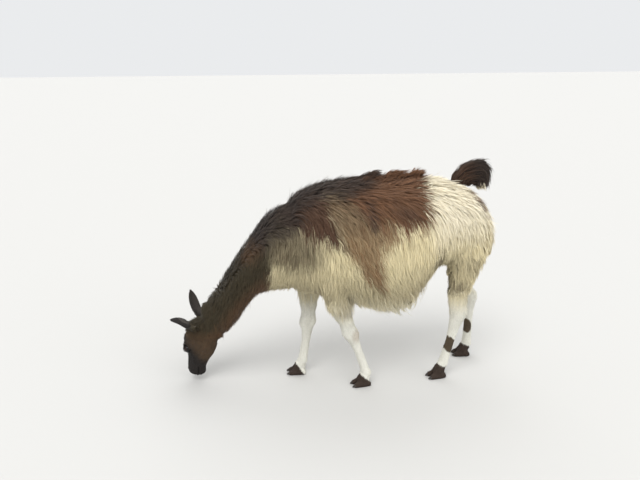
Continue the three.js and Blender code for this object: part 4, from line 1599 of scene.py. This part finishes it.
def short_strands(name, density, count, length, width, lift, axis, seed, rows=4):
    """Short hair over a part of the skin, lying close to it."""
    skin = hide()
    chance = np.random.default_rng(seed)
    roots, spots = skin.sow(density, count, chance)
    normals = unit(skin.at(skin.normals, spots))
    lie = skin.at(skin.lie, spots)
    way = unit(lie + chance.normal(0, 0.13, lie.shape))
    lengths = skin.at(length, spots) * chance.uniform(0.7, 1.25, count)
    share = shares(rows)[None, :, None]
    height = lift * chance.uniform(0.5, 1.2, count)[:, None, None] * lengths[:, None, None]
    arch = height * np.sin(share * np.pi * 0.62) - SHORT_ROOT_DEPTH * (1 - share)
    paths = roots[:, None, :] + way[:, None, :] * share * lengths[:, None, None]
    paths = paths + normals[:, None, :] * arch
    out = np.broadcast_to(normals[:, None, :], paths.shape)
    widths = width * chance.uniform(0.6, 1.3, count)
    roll = chance.normal(0, 0.35, count)
    strips = kept_inside(ribbons(paths, out, widths, roll, taper(rows, 0.7, 0.12)))
    zones = skin.at(skin.zone, spots)
    add_coat_piece(name, strips, roots, chance.random(count), zones, axis)


def make_face_hair(coat):
    """The short hair of the face and ears, which leaves lids, nostrils and lips bare."""
    skin = hide()
    down = in_head(skin.points)[:, 0]
    density = skin.share["head"] * ramp(down, COLLAR - 0.02, COLLAR)
    density = density * (1 - 0.4 * ramp(down, 0.26, 0.30)) * skin.covered**2
    length = 0.0042 + 0.0060 * ramp(down, 0.26, 0.12)
    short_strands(
        "coat_face", density, coat.face_strands, length,
        width=0.0010, lift=0.09, axis=(POLL, LIPS), seed=SEED + 2,
    )
    for index, side in enumerate(SIDES):
        ear_middle = points_of(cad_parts[f"ear_{side}"].data).mean(0)
        near = np.linalg.norm(skin.points - ear_middle, axis=1) < EAR_REACH
        short_strands(
            f"coat_ear_{side}", skin.share["ear"] * near, coat.face_strands // 9,
            np.full(len(down), 0.006),
            width=0.0014, lift=0.15, axis=ear_line(side), seed=SEED + 30 + index,
        )


def make_leg_hair(coat):
    """The short hair of the legs and feet, down to the nails."""
    skin = hide()
    height = skin.points[:, 2]
    length = 0.0065 + 0.014 * ramp(height, 0.26, 0.50)
    for index, foot in enumerate(FEET):
        line = leg_line(foot)
        _, _, spots = nearest_on_line(skin.points, line)
        inside = np.linalg.norm(skin.points - spots, axis=1) < LEG_REACH
        density = (skin.share["leg"] + skin.share["paw"] * 1.3) * inside
        density = density * ramp(height, 0.006, 0.014)
        short_strands(
            f"coat_leg_{foot}", density, coat.leg_strands // 4, length,
            width=0.0019, lift=0.20, axis=line, seed=SEED + 4 + index,
        )


# ---------- Operators ----------
class LLAMA_OT_skin(bpy.types.Operator):
    """Makes the skin of the whole body, with lids, nostrils, mouth and ears"""

    bl_idname = "llama.skin"
    bl_label = "Skin"

    def execute(self, context):
        mesh = make_skin_mesh(context.scene.llama_skin)
        skin = link("skin", mesh, skin_material())
        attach(skin, "root")
        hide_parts(*BODY, *EARS)
        MADE["hide"] = Hide(mesh)
        return {"FINISHED"}


class LLAMA_OT_fleece(bpy.types.Operator):
    """Makes the long fleece of the trunk, neck and poll, and the tufts of the back"""

    bl_idname = "llama.fleece"
    bl_label = "Fleece"

    def execute(self, context):
        make_fleece()
        make_tufts()
        return {"FINISHED"}


class LLAMA_OT_tail(bpy.types.Operator):
    """Makes the plume of the tail"""

    bl_idname = "llama.tail"
    bl_label = "Tail"

    def execute(self, context):
        make_tail_coat()
        return {"FINISHED"}


class LLAMA_OT_short_hair(bpy.types.Operator):
    """Makes the short hair of the face, ears, legs and feet"""

    bl_idname = "llama.short_hair"
    bl_label = "Short hair"

    def execute(self, context):
        make_face_hair(context.scene.llama_coat)
        make_leg_hair(context.scene.llama_coat)
        return {"FINISHED"}


class LLAMA_OT_eyes(bpy.types.Operator):
    """Makes the eyeballs, with iris and level pupil, and the lashes"""

    bl_idname = "llama.eyes"
    bl_label = "Eyes"

    def execute(self, context):
        material = eye_material()
        for side in SIDES:
            ball = eyeball(side, material)
            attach(ball, "root")
            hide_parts(f"eye_{side}")
        make_lashes()
        return {"FINISHED"}


class LLAMA_OT_nails(bpy.types.Operator):
    """Makes the two nails of each foot"""

    bl_idname = "llama.nails"
    bl_label = "Nails"

    def execute(self, context):
        mesh = modified(joined(NAILS), "REMESH", mode="VOXEL", voxel_size=0.0012)
        net = Net(mesh)
        place_points(mesh, net.fair(points_of(mesh), times=8))
        mesh.shade_smooth()
        nails = link("nails", mesh, nail_material())
        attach(nails, "root")
        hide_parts(*NAILS)
        return {"FINISHED"}


class LLAMA_OT_stage(bpy.types.Operator):
    """Makes the floor, the lights and the camera"""

    bl_idname = "llama.stage"
    bl_label = "Stage"

    def execute(self, context):
        make_stage(context.scene.llama_stage)
        return {"FINISHED"}


def make_lashes(rows=6, each=70):
    """The lashes of the upper lids."""
    chance = np.random.default_rng(SEED + 40)
    paths, outward = [], []
    wide, high = OPENING[0] + 0.0003, OPENING[1] + 0.0002
    for side in SIDES:
        level, above, gaze = eye_directions(side)
        turn = np.linspace(-1.0, 1.1, each) + chance.normal(0, 0.02, each)
        u, v = wide * np.sin(turn), high * np.cos(turn) + chance.normal(0, 0.0004, each)
        w = np.sqrt((EYE_RADIUS + 0.001) ** 2 - u**2 - v**2) - 0.0005
        roots = EYE[side] + u[:, None] * level + v[:, None] * above + w[:, None] * gaze
        reach = (chance.uniform(0.0055, 0.0075, each) * (1 - 0.3 * np.abs(turn)))[:, None, None]
        share = shares(rows)[None, :, None]
        out = unit(gaze + above * 0.25 + level * (u / 0.022)[:, None])[:, None, :]
        paths.append(roots[:, None, :] + reach * (out * share + above * 0.35 * share**2))
        outward.append(np.broadcast_to(above, paths[-1].shape))
    paths, outward = np.concatenate(paths), np.concatenate(outward)
    count = len(paths)
    widths, nothing = np.full(count, 0.0007), np.zeros(count)
    strips = ribbons(paths, outward, widths, nothing, taper(rows, 0.9, 0.15))
    zones = np.zeros((count, 3))
    add_coat_piece("lashes", strips, paths[:, 0], nothing, zones, (POLL, LIPS))


def eyeball(side, material, rings=40, around=56):
    """One eyeball with its bulging cornea, its pole on the gaze."""
    level, above, gaze = eye_directions(side)
    mesh = bpy.data.meshes.new(f"eyeball_{side}")
    with edited(mesh) as shape:
        bmesh.ops.create_uvsphere(shape, u_segments=around, v_segments=rings, radius=1.0)
    ball = points_of(mesh)
    bulge = 1 + 0.035 * ramp(ball[:, 2], 0.80, 0.97)
    world = EYE[side] + EYE_RADIUS * bulge[:, None] * (
        ball[:, :1] * level + ball[:, 1:2] * above + ball[:, 2:] * gaze
    )
    place_points(mesh, world)
    add_vectors(mesh, "gaze", ball)
    with edited(mesh) as shape:
        bmesh.ops.recalc_face_normals(shape, faces=shape.faces)
    mesh.shade_smooth()
    return link(f"eyeball_{side}", mesh, material)


def make_stage(stage):
    """The plain pale floor, the soft lights round the animal and the camera."""
    material, _, _ = new_material("floor_plain", Base_Color=solid(stage.floor), Roughness=0.9)
    mesh = bpy.data.meshes.new("floor")
    half = 30.0
    edges = [(-half, -half, 0), (half, -half, 0), (half, half, 0), (-half, half, 0)]
    mesh.from_pydata(edges, [], [(0, 1, 2, 3)])
    link("floor", mesh, material)

    world = bpy.data.worlds.new("soft_sky")
    world.use_nodes = True
    background = world.node_tree.nodes["Background"]
    background.inputs["Color"].default_value = solid(SKY_TINT)
    background.inputs["Strength"].default_value = stage.sky
    bpy.context.scene.world = world
    for name, aim, angle, power in LIGHTS:
        light = bpy.data.lights.new(name, "SUN")
        light.angle = math.radians(angle)
        light.energy = power * stage.sun
        lamp = bpy.data.objects.new(name, light)
        lamp.location = -2 * Vector(aim)
        lamp.rotation_euler = Vector(aim).to_track_quat("-Z", "Y").to_euler()
        bpy.context.scene.collection.objects.link(lamp)

    camera = bpy.data.cameras.new("camera")
    camera.lens = stage.lens
    camera.sensor_width = 36.0
    camera.clip_end = 100.0
    eye = bpy.data.objects.new("camera", camera)
    eye.location = stage.camera_place
    eye.rotation_euler = Vector(stage.camera_aim).to_track_quat("-Z", "Y").to_euler()
    bpy.context.scene.collection.objects.link(eye)
    bpy.context.scene.camera = eye
    bpy.context.scene.view_settings.view_transform = "Standard"


class LLAMA_PT_panel(bpy.types.Panel):
    """Lists the steps that make the llama"""

    bl_label = "Llama"
    bl_idname = "LLAMA_PT_panel"
    bl_space_type = "VIEW_3D"
    bl_region_type = "UI"
    bl_category = "Llama"

    def draw(self, context):
        for operator in OPERATORS:
            self.layout.operator(operator.bl_idname)


SETTINGS = {
    "llama_skin": LlamaSkinSettings,
    "llama_coat": LlamaCoatSettings,
    "llama_colours": LlamaColourSettings,
    "llama_stage": LlamaStageSettings,
}
OPERATORS = (
    LLAMA_OT_stage,
    LLAMA_OT_skin,
    LLAMA_OT_eyes,
    LLAMA_OT_nails,
    LLAMA_OT_fleece,
    LLAMA_OT_tail,
    LLAMA_OT_short_hair,
)


def register():
    for group in (*SETTINGS.values(), *OPERATORS, LLAMA_PT_panel):
        bpy.utils.register_class(group)
    for name, group in SETTINGS.items():
        setattr(bpy.types.Scene, name, bpy.props.PointerProperty(type=group))


def unregister():
    for name in SETTINGS:
        delattr(bpy.types.Scene, name)
    for group in reversed((*SETTINGS.values(), *OPERATORS, LLAMA_PT_panel)):
        bpy.utils.unregister_class(group)


def corners(box):
    return [[round(float(number), 5) for number in corner] for corner in box]


def main():
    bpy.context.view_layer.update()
    register()
    for operator in OPERATORS:
        group, name = operator.bl_idname.split(".")
        getattr(getattr(bpy.ops, group), name)()


if __name__ == "__main__":
    main()
